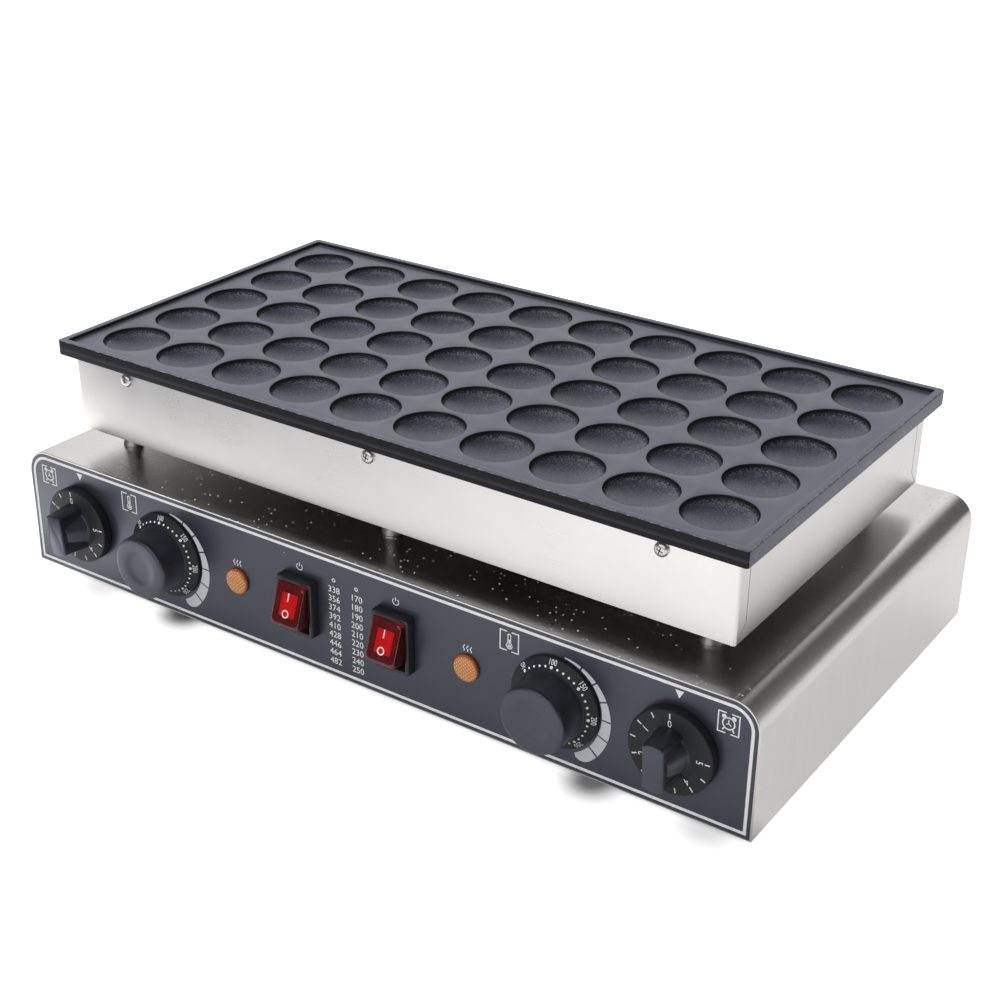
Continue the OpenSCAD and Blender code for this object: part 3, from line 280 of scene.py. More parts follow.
bm = bmesh.new()
tile_profile = [(23.2, 0.0), (22.9, -0.05), (22.65, -0.22), (22.52, -0.55), (22.42, -1.3), (22.12, -2.1),
                (21.6, -2.95), (20.9, -3.75), (20.0, -4.45), (18.9, -5.05), (17.6, -5.6)]
dish_steps = (16, 13.5, 11, 8.5, 6, 3.5, 1.5)
tile_profile += [(r, dish_floor + dish_r - math.sqrt(dish_r ** 2 - r * r)) for r in dish_steps]
steps = 48
angles = [math.tau * (i - 0.5 * steps / 4) / steps for i in range(steps)]
reach = [dimple_pitch / 2 / max(abs(math.cos(a)), abs(math.sin(a))) for a in angles]
rings = [[Vector((far * math.cos(a), far * math.sin(a), 0)) for far, a in zip(reach, angles)]]
rings += [[Vector((r * math.cos(a), r * math.sin(a), z)) for a in angles] for r, z in tile_profile]
made = skin(bm, rings)
pole = bm.verts.new((0, 0, dish_floor))
for i in range(steps):
    bm.faces.new((made[-1][i], made[-1][(i + 1) % steps], pole))
tile = seed_piece("dimple_tile", bm)

tree, given, result = tree_with("dimple_field", {"Columns": "Int", "Rows": "Int", "Width": "Float",
                                                 "Depth": "Float", "Tile": "Object", "Coat": "Material"})
grid = add(tree, "GeometryNodeMeshGrid", Size_X=given["Width"], Size_Y=given["Depth"],
           Vertices_X=given["Columns"], Vertices_Y=given["Rows"])
shape = add(tree, "GeometryNodeObjectInfo", Object=given["Tile"]).outputs["Geometry"]
tiles = add(tree, "GeometryNodeInstanceOnPoints", Points=grid.outputs[0], Instance=shape).outputs[0]
solid = add(tree, "GeometryNodeRealizeInstances", i0=tiles).outputs[0]
closed = add(tree, "GeometryNodeMergeByDistance", Geometry=solid, Distance=0.01).outputs[0]
coated = add(tree, "GeometryNodeSetMaterial", Geometry=closed, Material=given["Coat"]).outputs[0]
tree.links.new(coated, result[0])
field = grown(tree, bpy.data.meshes.new("field_start"), Columns=dimple_cols, Rows=dimple_rows,
              Width=(dimple_cols - 1) * dimple_pitch, Depth=(dimple_rows - 1) * dimple_pitch, Tile=tile,
              Coat=plate_coat)
bpy.data.objects.remove(tile)

bm = bmesh.new()
bm.from_mesh(field)
field_edge = [e for e in bm.edges if e.is_boundary]
rim_profile = [(8.6, 0.0), (6.2, 0.0), (5.75, 0.06), (5.5, 0.3), (5.35, 0.8), (5.2, 1.7), (5.05, 2.2),
               (4.8, 2.44), (4.4, rim_rise), (0.7, rim_rise), (0.4, 2.44), (0.15, 2.25), (0.03, 1.95),
               (0.0, 1.5), (0.0, -6.9), (0.1, -7.5), (0.4, -7.95), (0.9, -8.18), (1.5, -8.2), (9.3, -8.2),
               (9.3, -24.0), (18.0, -24.0), (18.0, -12.8)]
corner_r, least_r = 2.5, 0.6
rim_rings = [rounded_ring(plate_half[0] - d, plate_half[1] - d, max(corner_r - d, least_r), z)
             for d, z in rim_profile]
made = skin(bm, rim_rings, cap_last=True)
inner = [bm.edges.get((made[0][i], made[0][(i + 1) % len(made[0])])) for i in range(len(made[0]))]
bmesh.ops.triangle_fill(bm, edges=field_edge + inner, normal=(0, 0, 1))
casting = settle("plate_casting", bm, plate_coat, "cooker", ["cooking_plate"],
                 Matrix.Translation((plate_mid.x, plate_mid.y, field_z)), 40)
casting.data.materials.append(painted_shade_wall_coat)
# Steep faces of the dimples and inner step, and the front flank, take the painted shade copy of the coat.
steep, edge_band, wall_top = 0.72, 1.0, (field_z + 2.3) * MM
for face in casting.data.polygons:
    spot = face.center / MM - plate_mid
    inside = min(plate_half[0] - abs(spot.x), plate_half[1] - abs(spot.y)) > edge_band
    if abs(face.normal.z) < steep and face.center.z < wall_top and (inside or face.normal.y < -0.5):
        face.material_index = 1
bpy.data.meshes.remove(field)

# Heater box: satin stainless front and rear sheets, folded round the corners over flush side sheets.
# The returns are spot-welded to tabs behind them, so only a thin slanted seam shows near each corner.
box_lo, box_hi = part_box("heater_box_front")
box_half_x = box_hi.x / MM
box_z0, box_z1 = box_lo.z / MM, box_hi.z / MM
box_front_y = box_lo.y / MM
box_rear_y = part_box("heater_box_rear")[1].y / MM
lap, lap_foot, lap_cut, sheet_t, fold = 12.0, 3.0, 11.0, 0.8, 1.8
ledge_inset, ledge_w, ledge_z = 11.0, 9.2, 1.0

box_steel, tree, shader = finish("satin_stainless", (0.62, 0.61, 0.60), 0.3, Metallic=1.0)
where = place_of(tree)
rolled = noise(tree, place_of(tree, (6, 6, 420)), 1.0, 3, 0.6)
smear = noise(tree, where, 16, 3, 0.6)
spot = add(tree, "ShaderNodeTexVoronoi", Vector=where, Scale=75).outputs
speck = span(tree, spot["Distance"], 0.02, 0.04, 1.0, 0.0)
rare = add(tree, "ShaderNodeSeparateColor", i0=spot["Color"]).outputs[0]
speck = times(tree, speck, span(tree, rare, 0.965, 0.97))
plain = tint(tree, span(tree, smear, 0.3, 0.75), (0.66, 0.649, 0.641), (0.72, 0.708, 0.699))
colour(shader, tint(tree, speck, plain, (0.25, 0.23, 0.21)))
blur = sums(tree, "ADD", span(tree, smear, 0.3, 0.7, 0.26, 0.30), span(tree, rolled, 0.3, 0.7, 0.0, 0.02))
dullness(shader, blur)
grain(shader, rolled, 0.01, 0.0001)


def folded_end(name, node, face_y, inward):
    """Front or rear sheet of the box: a flat face with a rounded fold and a return at each end."""
    plan = [(-box_half_x, lap, lap_cut), (-box_half_x, lap * 0.6, lap_cut * 0.47),
            (-box_half_x, lap_foot, 0.0)]
    for i in range(7):
        a = math.radians(180 + 90 * i / 6)
        plan.append((-box_half_x + fold + fold * math.cos(a), fold + fold * math.sin(a), 0.0))
    plan += [(x * box_half_x / 5, 0.0, 0.0) for x in range(-4, 1)]
    plan += [(-x, y, rise) for x, y, rise in plan[-2::-1]]
    bm = bmesh.new()
    low = [bm.verts.new((x, face_y + inward * y, box_z0 + rise)) for x, y, rise in plan]
    top = [bm.verts.new((x, face_y + inward * y, box_z1)) for x, y, rise in plan]
    for i in range(len(plan) - 1):
        bm.faces.new((low[i], low[i + 1], top[i + 1], top[i]))
    bmesh.ops.recalc_face_normals(bm, faces=bm.faces)
    bm.faces.ensure_lookup_table()
    mid = bm.faces[len(plan) // 2]
    if mid.normal.y * inward > 0:
        bmesh.ops.reverse_faces(bm, faces=bm.faces)
    bmesh.ops.solidify(bm, geom=bm.faces[:], thickness=sheet_t)
    lip = box_half_x - ledge_inset
    ledge = [Vector((sx * lip, face_y + inward * (sheet_t + sy * ledge_w), box_z0 + ledge_z))
             for sx, sy in ((-1, 0), (1, 0), (1, 1), (-1, 1))]
    skin(bm, [ledge, [p + Vector((0, 0, sheet_t)) for p in ledge]], True, True)
    settle(name, bm, box_steel, "cooker", [node])


folded_end("box_sheet_front", "heater_box_front", box_front_y, 1)
folded_end("box_sheet_rear", "heater_box_rear", box_rear_y, -1)


def dress(material, *names):
    """Gives CAD nodes their finish."""
    for name in names:
        nodes[name].data.materials.clear()
        nodes[name].data.materials.append(material)


dress(box_steel, "heater_box_left", "heater_box_right")

# Plate screws: zinc-plated pan-head screws with a cross recess drawn as a dark cross of painted shade,
# three along the front and three behind.
# Each goes through the box sheet into the plate's rib.
screw_inset, screw_drop = 48.5, 8.0
zinc, tree, shader = finish("bright_zinc", (0.62, 0.61, 0.60), 0.26, Metallic=1.0)
haze = noise(tree, place_of(tree), 900, 3)
dullness(shader, span(tree, haze, 0.3, 0.7, 0.2, 0.4))
colour(shader, tint(tree, haze, (0.5, 0.49, 0.47), (0.7, 0.69, 0.68)))


def lathe(bm, profile, steps):
    """A closed turned shape about Z from (radius, height) points; a radius of nought closes it."""
    rings, poles = [], {}
    turns = [math.tau * i / steps for i in range(steps)]
    for index, (r, z) in enumerate(profile):
        if r > 1e-6:
            rings.append([Vector((r * math.cos(a), r * math.sin(a), z)) for a in turns])
        else:
            poles[index] = z
    made = skin(bm, rings)
    if not poles:
        for i in range(steps):
            j = (i + 1) % steps
            bm.faces.new((made[-1][i], made[-1][j], made[0][j], made[0][i]))
    for index, z in poles.items():
        pole = bm.verts.new((0, 0, z))
        ring = made[0] if index == 0 else made[-1]
        for i in range(steps):
            bm.faces.new((ring[i], ring[(i + 1) % steps], pole))


bm = bmesh.new()
head = [(0, -2.0), (2.4, -2.0), (2.5, 0.0), (4.6, 0.0), (4.65, 0.7), (4.45, 1.5), (3.9, 2.2), (2.9, 2.7),
        (1.6, 2.95), (0, 3.0)]
lathe(bm, head, 32)
screw = seed_piece("plate_screw", bm)
# The cross recess is a thin dark slab on the head: painted shade, not a hollow.
bm = bmesh.new()
for turn in (0, 90):
    spot = Matrix.Rotation(math.radians(turn), 4, "Z") @ Matrix.Translation((0, 0, 2.95))
    bmesh.ops.create_cube(bm, size=1.0, matrix=spot @ Matrix.Diagonal((4.2, 0.65, 0.16, 1)))
cross = seed_piece("screw_cross", bm)
recess_painted_shade, tree, shader = finish("screw_recess", (0.05, 0.05, 0.05), 0.6, Metallic=1.0)
colour(shader, tint(tree, noise(tree, place_of(tree), 1500), (0.03, 0.03, 0.03), (0.09, 0.085, 0.08)))

set_at_points, given, result = tree_with("set_at_points",
                                         {"Piece": "Object", "Turn": "Vector", "Finish": "Material"})
shape = add(set_at_points, "GeometryNodeObjectInfo", Object=given["Piece"]).outputs["Geometry"]
set_out = add(set_at_points, "GeometryNodeInstanceOnPoints", Points=given["Geometry"], Instance=shape,
              Rotation=given["Turn"]).outputs[0]
solid = add(set_at_points, "GeometryNodeRealizeInstances", i0=set_out).outputs[0]
coated = add(set_at_points, "GeometryNodeSetMaterial", Geometry=solid, Material=given["Finish"]).outputs[0]
set_at_points.links.new(coated, result[0])


def points_mesh(places):
    """Bare points, at which a geometry tree sets a piece."""
    mesh = bpy.data.meshes.new("places")
    mesh.from_pydata(places, [], [])
    return mesh


for name, seed, material, stands_for in (("plate_screw_heads", screw, zinc, ["plate_screws"]),
                                         ("plate_screw_crosses", cross, recess_painted_shade, ())):
    bm = bmesh.new()
    for face_y, turn in ((box_front_y, math.pi / 2), (box_rear_y, -math.pi / 2)):
        screw_x = box_half_x - screw_inset
        places = [(x, face_y, box_z1 - screw_drop) for x in (-screw_x, 0, screw_x)]
        bm.from_mesh(grown(set_at_points, points_mesh(places), Piece=seed, Turn=(turn, 0.3, 0.0),
                           Finish=material))
    settle(name, bm, material, "cooker", stands_for)
    bpy.data.objects.remove(seed)

# Posts: six turned steel spacers between base and heater box, wider at the foot.
# Each is clamped by a bolt through its bore, and the rings left by turning make it a little dull.
post_lo, post_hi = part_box("standoff_posts")
post_steel, tree, shader = finish("turned_steel", (0.66, 0.65, 0.64), 0.28, Metallic=1.0)
rings = noise(tree, place_of(tree, (5, 5, 900)), 1.0, 2)
dullness(shader, span(tree, rings, 0.3, 0.7, 0.36, 0.5))
colour(shader, tint(tree, rings, (0.42, 0.41, 0.40), (0.56, 0.55, 0.54)))
post_h = (post_hi.z - post_lo.z) / MM
post_foot_r, post_bore_r = 7.0, 3.2
bm = bmesh.new()
lathe(bm, [(post_bore_r, 0), (post_foot_r - 0.3, 0), (post_foot_r, 0.35), (post_foot_r, 1.5), (6.75, 2.1),
           (5.6, post_h * 0.38), (5.25, post_h * 0.48), (5.25, post_h - 0.4), (4.9, post_h),
           (post_bore_r, post_h)], 40)
post = seed_piece("post", bm)
post_x = post_hi.x / MM - post_foot_r
rows = (post_lo.y / MM + post_foot_r, post_hi.y / MM - post_foot_r)
places = [(x, y, post_lo.z / MM) for x in (-post_x, 0, post_x) for y in rows]
mesh = grown(set_at_points, points_mesh(places), Piece=post, Turn=(0.0, 0.0, 0.0), Finish=post_steel)
mesh.transform(Matrix.Scale(MM, 4))
settle_mesh("posts", mesh, post_steel, "cooker", ["standoff_posts"])
bpy.data.objects.remove(post)

# Base shell: one stainless sheet bent over two round corners into top and sides, brushed across the bends.
# It is open at front and rear, and its cut edge shows as a bright line round the front panel.
shell_lo, shell_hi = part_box("base_shell")
base_half = shell_hi.x / MM
base_top, base_low = shell_hi.z / MM, shell_lo.z / MM
front_y, rear_y = shell_lo.y / MM, shell_hi.y / MM
bend_r, shell_t = 18.0, 1.2
residue_x, cut_edge = 268.5, 0.25
ledge_front, ledge_rear, base_ledge_w = 16.0, 15.0, 14.8

base_steel, tree, shader = finish("brushed_stainless", (0.60, 0.585, 0.57), 0.25, Metallic=1.0)
where = place_of(tree)
brush = noise(tree, place_of(tree, (5, 1100, 5)), 1.0, 3, 0.65)
smear = noise(tree, where, 10, 4, 0.6)
lines = tint(tree, span(tree, brush, 0.3, 0.7), (0.60, 0.585, 0.572), (0.65, 0.635, 0.622))
up = axes(tree, where)
flock = span(tree, noise(tree, where, 22, 3), 0.40, 0.50)
motes = []
for grid, small, large, some in ((240, 0.13, 0.155, 0.52), (110, 0.06, 0.07, 0.70)):
    dust = add(tree, "ShaderNodeTexVoronoi", Vector=where, Scale=grid).outputs
    pick = add(tree, "ShaderNodeSeparateColor", i0=dust["Color"]).outputs[0]
    motes.append(times(tree, span(tree, dust["Distance"], small, large, 1.0, 0.0),
                       span(tree, pick, some, some + 0.005)))
mote = times(tree, sums(tree, "MAXIMUM", *motes), flock)
off = sums(tree, "ABSOLUTE", sums(tree, "SUBTRACT", up[0], residue_x * MM))
dashes = span(tree, noise(tree, place_of(tree, (60, 130, 1)), 1.0, 4, 0.7), 0.50, 0.62, 0.0, 0.3)
dashes = times(tree, span(tree, off, 0.0003, 0.0011, 1.0, 0.0), dashes)
mote = sums(tree, "MAXIMUM", mote, dashes)
mote = times(tree, mote, span(tree, up[2], (base_top - 2) * MM, (base_top - 1) * MM))
colour(shader, tint(tree, mote, lines, (0.95, 0.95, 0.95)))
tree.links.new(span(tree, mote, 0.0, 0.6, 1.0, 0.0), shader.inputs["Metallic"])
blur = sums(tree, "ADD", span(tree, smear, 0.3, 0.7, 0.15, 0.22), span(tree, up[0], 0.05, 0.26, 0.0, 0.14))
blur = sums(tree, "SUBTRACT", blur, span(tree, up[0], 0.264, 0.274, 0.0, 0.1))
blur = sums(tree, "ADD", blur, span(tree, up[0], -0.26, -0.12, 0.12, 0.0))
dullness(shader, sums(tree, "ADD", blur, span(tree, brush, 0.3, 0.7, 0.0, 0.03)))
grain(shader, brush, 0.03, 0.00025)


def base_outline(inset, low, radius=None, steps=16):
    """Outline of the base seen from the front: up the left side, over the top and down the right."""
    r = bend_r - inset if radius is None else radius
    half, top = base_half - inset, base_top - inset
    path = [(-half, low)]
    for i in range(steps + 1):
        a = math.radians(180 - 90 * i / steps)
        path.append((-half + r + r * math.cos(a), top - r + r * math.sin(a)))
    return path + [(-x, z) for x, z in path[::-1]]


bm = bmesh.new()
inside = base_outline(shell_t, base_low)
rows = []
front_in, rear_in = front_y + cut_edge, rear_y - cut_edge
for y, inset in ((front_y, cut_edge), (front_in, 0.0), (rear_in, 0.0), (rear_y, cut_edge)):
    rows.append([Vector((x, y, z)) for x, z in base_outline(inset, base_low)])
for y in (rear_y, front_y):
    rows.append([Vector((x, y, z)) for x, z in inside])
made = [[bm.verts.new(p) for p in row] for row in rows]
made.append(made[0])
for a, b in zip(made, made[1:]):
    for i in range(len(a) - 1):
        bm.faces.new((a[i], a[i + 1], b[i + 1], b[i]))
for end in (0, -1):
    bm.faces.new([row[end] for row in made[:-1]])
for side in (-1, 1):
    y0, y1 = front_y + ledge_front, rear_y - ledge_rear
    ledge = [Vector((side * (base_half - shell_t - dx), y, base_low))
             for dx, y in ((0, y0), (base_ledge_w, y0), (base_ledge_w, y1), (0, y1))]
    skin(bm, [ledge, [p + Vector((0, 0, shell_t)) for p in ledge]], True, True)
settle("base_sheet", bm, base_steel, "cooker", ["base_shell"])

# Front panel, rear panel and base plate: plain folded sheets inside and under the shell, screwed together.
# Inner sheets and brackets share their dull rolled finish.
plain_sheet, tree, shader = finish("rolled_sheet", (0.58, 0.57, 0.56), 0.42, Metallic=1.0)
rolled = noise(tree, place_of(tree, (4, 60, 60)), 1.0, 4, 0.6)
colour(shader, tint(tree, span(tree, rolled, 0.3, 0.7), (0.5, 0.49, 0.48), (0.64, 0.63, 0.62)))
dullness(shader, span(tree, rolled, 0.3, 0.7, 0.36, 0.5))
dress(plain_sheet, "heater_box_floor", "front_panel", "base_plate", "wire_conduit", "clamp_bars")
rear_steel, tree, shader = finish("brushed_rear_panel", (0.70, 0.69, 0.68), 0.34, Metallic=1.0)
brush = noise(tree, place_of(tree, (5, 5, 1000)), 1.0, 3, 0.65)
colour(shader, tint(tree, span(tree, brush, 0.3, 0.7), (0.62, 0.61, 0.60), (0.76, 0.75, 0.74)))
dullness(shader, span(tree, brush, 0.3, 0.7, 0.28, 0.42))
grain(shader, brush, 0.1, 0.0002)
dress(rear_steel, "rear_panel")
dress(zinc, "post_bolts", "post_nuts", "base_screws", "foot_screws", "case_nuts", "clamp_studs",
      "clamp_nuts", "bulb_clips", "terminal_screws", "control_screws", "timer_shaft_left",
      "timer_shaft_right", "thermostat_shaft_left", "thermostat_shaft_right")

# Printed film: a charcoal plastic sheet with fine grain, cut out for the controls and stuck over the panel.
# Its marks are ink: border line, index points, small signs and plain numbers white, heat wedges pale grey.
film, tree, shader = finish("charcoal_film", (0.020, 0.021, 0.027), 0.36, IOR=1.75,
                            Specular_Tint=(0.78, 0.82, 1, 1))
where = place_of(tree)
fine = noise(tree, where, 2600, 2, 0.6)
wide = noise(tree, where, 9, 3)
ink = tint(tree, span(tree, fine, 0.3, 0.7), (0.018, 0.0185, 0.024), (0.026, 0.027, 0.035))
specks = add(tree, "ShaderNodeTexVoronoi", Vector=where, Scale=60).outputs
fleck = span(tree, specks["Distance"], 0.02, 0.035, 1.0, 0.0)
some = add(tree, "ShaderNodeSeparateColor", i0=specks["Color"]).outputs[0]
fleck = times(tree, fleck, span(tree, some, 0.94, 0.95))
colour(shader, tint(tree, fleck, ink, (0.6, 0.6, 0.6)))
dullness(shader, span(tree, wide, 0.3, 0.7, 0.32, 0.40))
grain(shader, fine, 0.12, 0.00008)
dress(film, "panel_overlay")

white_ink, tree, shader = finish("white_ink", (0.72, 0.72, 0.73), 0.5)
thin = noise(tree, place_of(tree), 700, 3)
colour(shader, tint(tree, span(tree, thin, 0.35, 0.6), (0.86, 0.86, 0.88), (0.94, 0.94, 0.95)))
grey_ink, tree, shader = finish("pale_grey_ink", (0.45, 0.46, 0.48), 0.5)
thin = noise(tree, place_of(tree), 700, 3)
colour(shader, tint(tree, thin, (0.60, 0.61, 0.65), (0.70, 0.71, 0.75)))

foot_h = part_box("rubber_feet")[1].z / MM
mid_z = (foot_h + base_top) / 2
ink_foot, ink_t, mitre_limit = 0.01, 0.05, 0.3


def on_panel(x, z):
    """From a frame with X along the panel, Y up it and Z out of it, at a place on the panel."""
    return Matrix.Translation((x, front_y, z)) @ Matrix.Rotation(math.pi / 2, 4, "X")


def ink_shape(bm, outline, at):
    """A flat printed area from its outline, as a very thin solid."""
    low = [bm.verts.new(at @ Vector((x, y, ink_foot))) for x, y in outline]
    top = [bm.verts.new(at @ Vector((x, y, ink_t))) for x, y in outline]
    bm.faces.new(low[::-1])
    bm.faces.new(top)
    for i in range(len(low)):
        j = (i + 1) % len(low)
        bm.faces.new((low[i], low[j], top[j], top[i]))


def ink_line(bm, path, width, at, ring=False):
    """A printed line of one width along points, with mitred corners."""
    pts = [Vector((x, y)) for x, y in path]
    count = len(pts)
    left, right = [], []
    for i, p in enumerate(pts):
        before = pts[i - 1] if ring or i > 0 else None
        after = pts[(i + 1) % count] if ring or i < count - 1 else None
        d1 = (p - before).normalized() if before is not None else (after - p).normalized()
        d2 = (after - p).normalized() if after is not None else d1
        n = Vector((-d1.y - d2.y, d1.x + d2.x)).normalized()
        reach = width / 2 / max(mitre_limit, n.dot(Vector((-d1.y, d1.x))))
        left.append(p + n * reach)
        right.append(p - n * reach)
    rows = [[bm.verts.new(at @ Vector((q.x, q.y, z))) for q in side] for side, z in
            ((left, ink_foot), (left, ink_t), (right, ink_t), (right, ink_foot))]
    for a in range(4):
        u, v = rows[a], rows[(a + 1) % 4]
        for i in range(count if ring else count - 1):
            j = (i + 1) % count
            bm.faces.new((u[i], u[j], v[j], v[i]))
    if not ring:
        for end in (0, -1):
            bm.faces.new([row[end] for row in rows])


def circle_path(r, steps, start=0.0, sweep=360.0, cx=0.0, cy=0.0):
    """Points of a circle, or of an arc with both its ends."""
    full = abs(sweep) >= 360
    angles = [math.radians(start + sweep * i / steps) for i in range(steps if full else steps + 1)]
    return [(cx + r * math.cos(a), cy + r * math.sin(a)) for a in angles]


def ink_number(bm, words, size, at):
    """A plain number in white ink, centred."""
    curve = bpy.data.curves.new("number", "FONT")
    curve.body = words
    curve.size = size
    curve.align_x = "CENTER"
    curve.align_y = "CENTER"
    curve.resolution_u = 3
    holder = bpy.data.objects.new("number", curve)
    scene.collection.objects.link(holder)
    mesh = bpy.data.meshes.new_from_object(holder.evaluated_get(bpy.context.evaluated_depsgraph_get()))
    bpy.data.objects.remove(holder)
    mesh.transform(at @ Matrix.Translation((0, 0, ink_t)))
    bm.from_mesh(mesh)
    bpy.data.meshes.remove(mesh)


panel_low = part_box("panel_overlay")[0].z / MM
bm = bmesh.new()
stripe_inset, stripe_rise, stripe_bend, stripe_w = 4.6, 3.4, 13.4, 2.0
stripe = base_outline(stripe_inset, panel_low + stripe_rise, stripe_bend, 12)
ink_line(bm, stripe, stripe_w, on_panel(0, 0), ring=True)
timer_x, thermostat_x, lamp_x, switch_x = 235.4, 155.5, 92.0, 38.3
for side in (-1, 1):
    ink_shape(bm, [(-2.8, 37.2), (0, 32.2), (2.8, 37.2)], on_panel(side * timer_x, mid_z))
    clock = on_panel(side * (base_half - 19.6), mid_z + 27.5)
    thermometer = on_panel(side * thermostat_x - (33.4 if side > 0 else 33.0), mid_z + 28.8)
    for at in (clock, thermometer):
        for sx in (-1, 1):
            ink_line(bm, [(sx * 1.6, 6.5), (sx * 6.5, 6.5), (sx * 6.5, -6.5), (sx * 1.6, -6.5)], 0.75, at)
    ink_line(bm, circle_path(3.7, 28), 0.8, clock, ring=True)
    ink_line(bm, [(0, 2.3), (0, 0), (1.6, -1.3)], 0.7, clock)
    ink_line(bm, [(0, 0), (-1.4, -0.9)], 0.7, clock)
    for sx in (-1, 1):
        ink_shape(bm, circle_path(1.45, 12, 0, 360, sx * 3.0, 3.9), clock)
        ink_line(bm, [(sx * 2.4, -2.9), (sx * 3.6, -4.9)], 0.8, clock)
    tube = [(-1.0, -1.2), (-1.0, 4.0)] + circle_path(1.0, 8, 180, -180, 0, 4.0) + [(1.0, -1.2)]
    ink_line(bm, tube, 0.6, thermometer)
    ink_line(bm, circle_path(2.0, 18, 60, -300, 0, -2.9), 0.6, thermometer)
    ink_shape(bm, circle_path(1.2, 14, 0, 360, 0, -2.9), thermometer)
    ink_shape(bm, [(-0.4, -2.9), (0.4, -2.9), (0.4, 1.4), (-0.4, 1.4)], thermometer)
left_x, left_z, right_x, right_z = -10.6, 19.6, 7.4, 18.9
row_step, ring_rise, number_size = 6.5, 7.0, 6.4
for row in range(9):
    celsius = 170 + 10 * row
    down = mid_z - row_step * row
    ink_number(bm, str(round(celsius * 1.8 + 32)), number_size, on_panel(left_x, down + left_z))
    ink_number(bm, str(celsius), number_size, on_panel(right_x, down + right_z))
for x, z in ((left_x, left_z + ring_rise), (right_x, right_z + ring_rise)):
    ink_line(bm, circle_path(1.1, 16), 0.6, on_panel(x, mid_z + z), ring=True)
for side in (-1, 1):
    heat = on_panel(side * lamp_x, mid_z + 13.4)
    for k in (-1, 0, 1):
        ink_line(bm, [(k * 2.6 + 0.6 * math.sin(i * 1.1), -2.2 + 0.55 * i) for i in range(9)], 0.5, heat)
    power = on_panel(side * switch_x, mid_z + 27.6)
    ink_line(bm, circle_path(2.3, 20, 125, 290), 0.55, power)
    ink_line(bm, [(0, 0.4), (0, 3.1)], 0.55, power)
bmesh.ops.remove_doubles(bm, verts=bm.verts, dist=0.0005)
settle("panel_print", bm, white_ink, "cooker", ())

wedge_start, wedge_end, wedge_in, wedge_out, wedge_gain = 81, -66, 31.4, 32.2, 9.2
tail_start, tail_gain, round_start, round_span = -20, 2.0, -52, 15
bm = bmesh.new()
for side in (-1, 1):
    at = on_panel(side * thermostat_x, mid_z)
    for a0, a1 in ((81, 61), (59, 40.5), (38.8, 20), (18.3, -1), (-2.7, -22), (-23.7, -42.5), (-44.5, -66)):
        outer, inner = [], []
        for i in range(9):
            a = a0 + (a1 - a0) * i / 8
            in_r = wedge_in + max(0.0, (tail_start - a) / (tail_start - wedge_end) * tail_gain)
            out_r = wedge_out + (wedge_start - a) / (wedge_start - wedge_end) * wedge_gain
            if a < round_start:
                rounding = 1 - ((round_start - a) / round_span) ** 2
                out_r = in_r + (out_r - in_r) * math.sqrt(max(0.0, rounding))
            for r, points in ((out_r, outer), (in_r, inner)):
                points.append((r * math.cos(math.radians(a)), r * math.sin(math.radians(a))))
        ink_shape(bm, outer + inner[::-1], at)
settle("heat_wedges", bm, grey_ink, "cooker", ())

# Thermostat knobs: black mouldings pushed on the thermostat shafts, with a round grip on a sloping skirt.
# The skirt carries a ring of dots and plain temperature numbers in white ink; the grip's end is dished.
# The skirts of all four knobs are a duller black than their grips.
knob_black, tree, shader = finish("knob_black", (0.016, 0.017, 0.021), 0.38, IOR=1.8,
                                  Specular_Tint=(0.78, 0.82, 1, 1))
where = place_of(tree)
fine = noise(tree, where, 1800, 2, 0.6)
wipe = noise(tree, where, 60, 4, 0.65)
wiped = span(tree, wipe, 0.35, 0.75)
colour(shader, tint(tree, wiped, (0.013, 0.0135, 0.017), (0.022, 0.0225, 0.028)))
dullness(shader, span(tree, wipe, 0.3, 0.7, 0.33, 0.45))
grain(shader, fine, 0.1, 0.0001)
skirt_black, tree, shader = finish("knob_skirt_black", (0.014, 0.014, 0.017), 0.5, Specular_IOR_Level=0.3)
wipe = noise(tree, place_of(tree), 60, 4, 0.65)
wiped = span(tree, wipe, 0.35, 0.75)
colour(shader, tint(tree, wiped, (0.012, 0.0125, 0.015), (0.020, 0.0205, 0.025)))
dullness(shader, span(tree, wipe, 0.3, 0.7, 0.45, 0.58))


def dull_skirt(piece, out):
    """Gives the part of a knob that lies near the panel its duller black."""
    piece.data.materials.append(skirt_black)
    for face in piece.data.polygons:
        if face.center.y > (front_y - out) * MM:
            face.material_index = 1


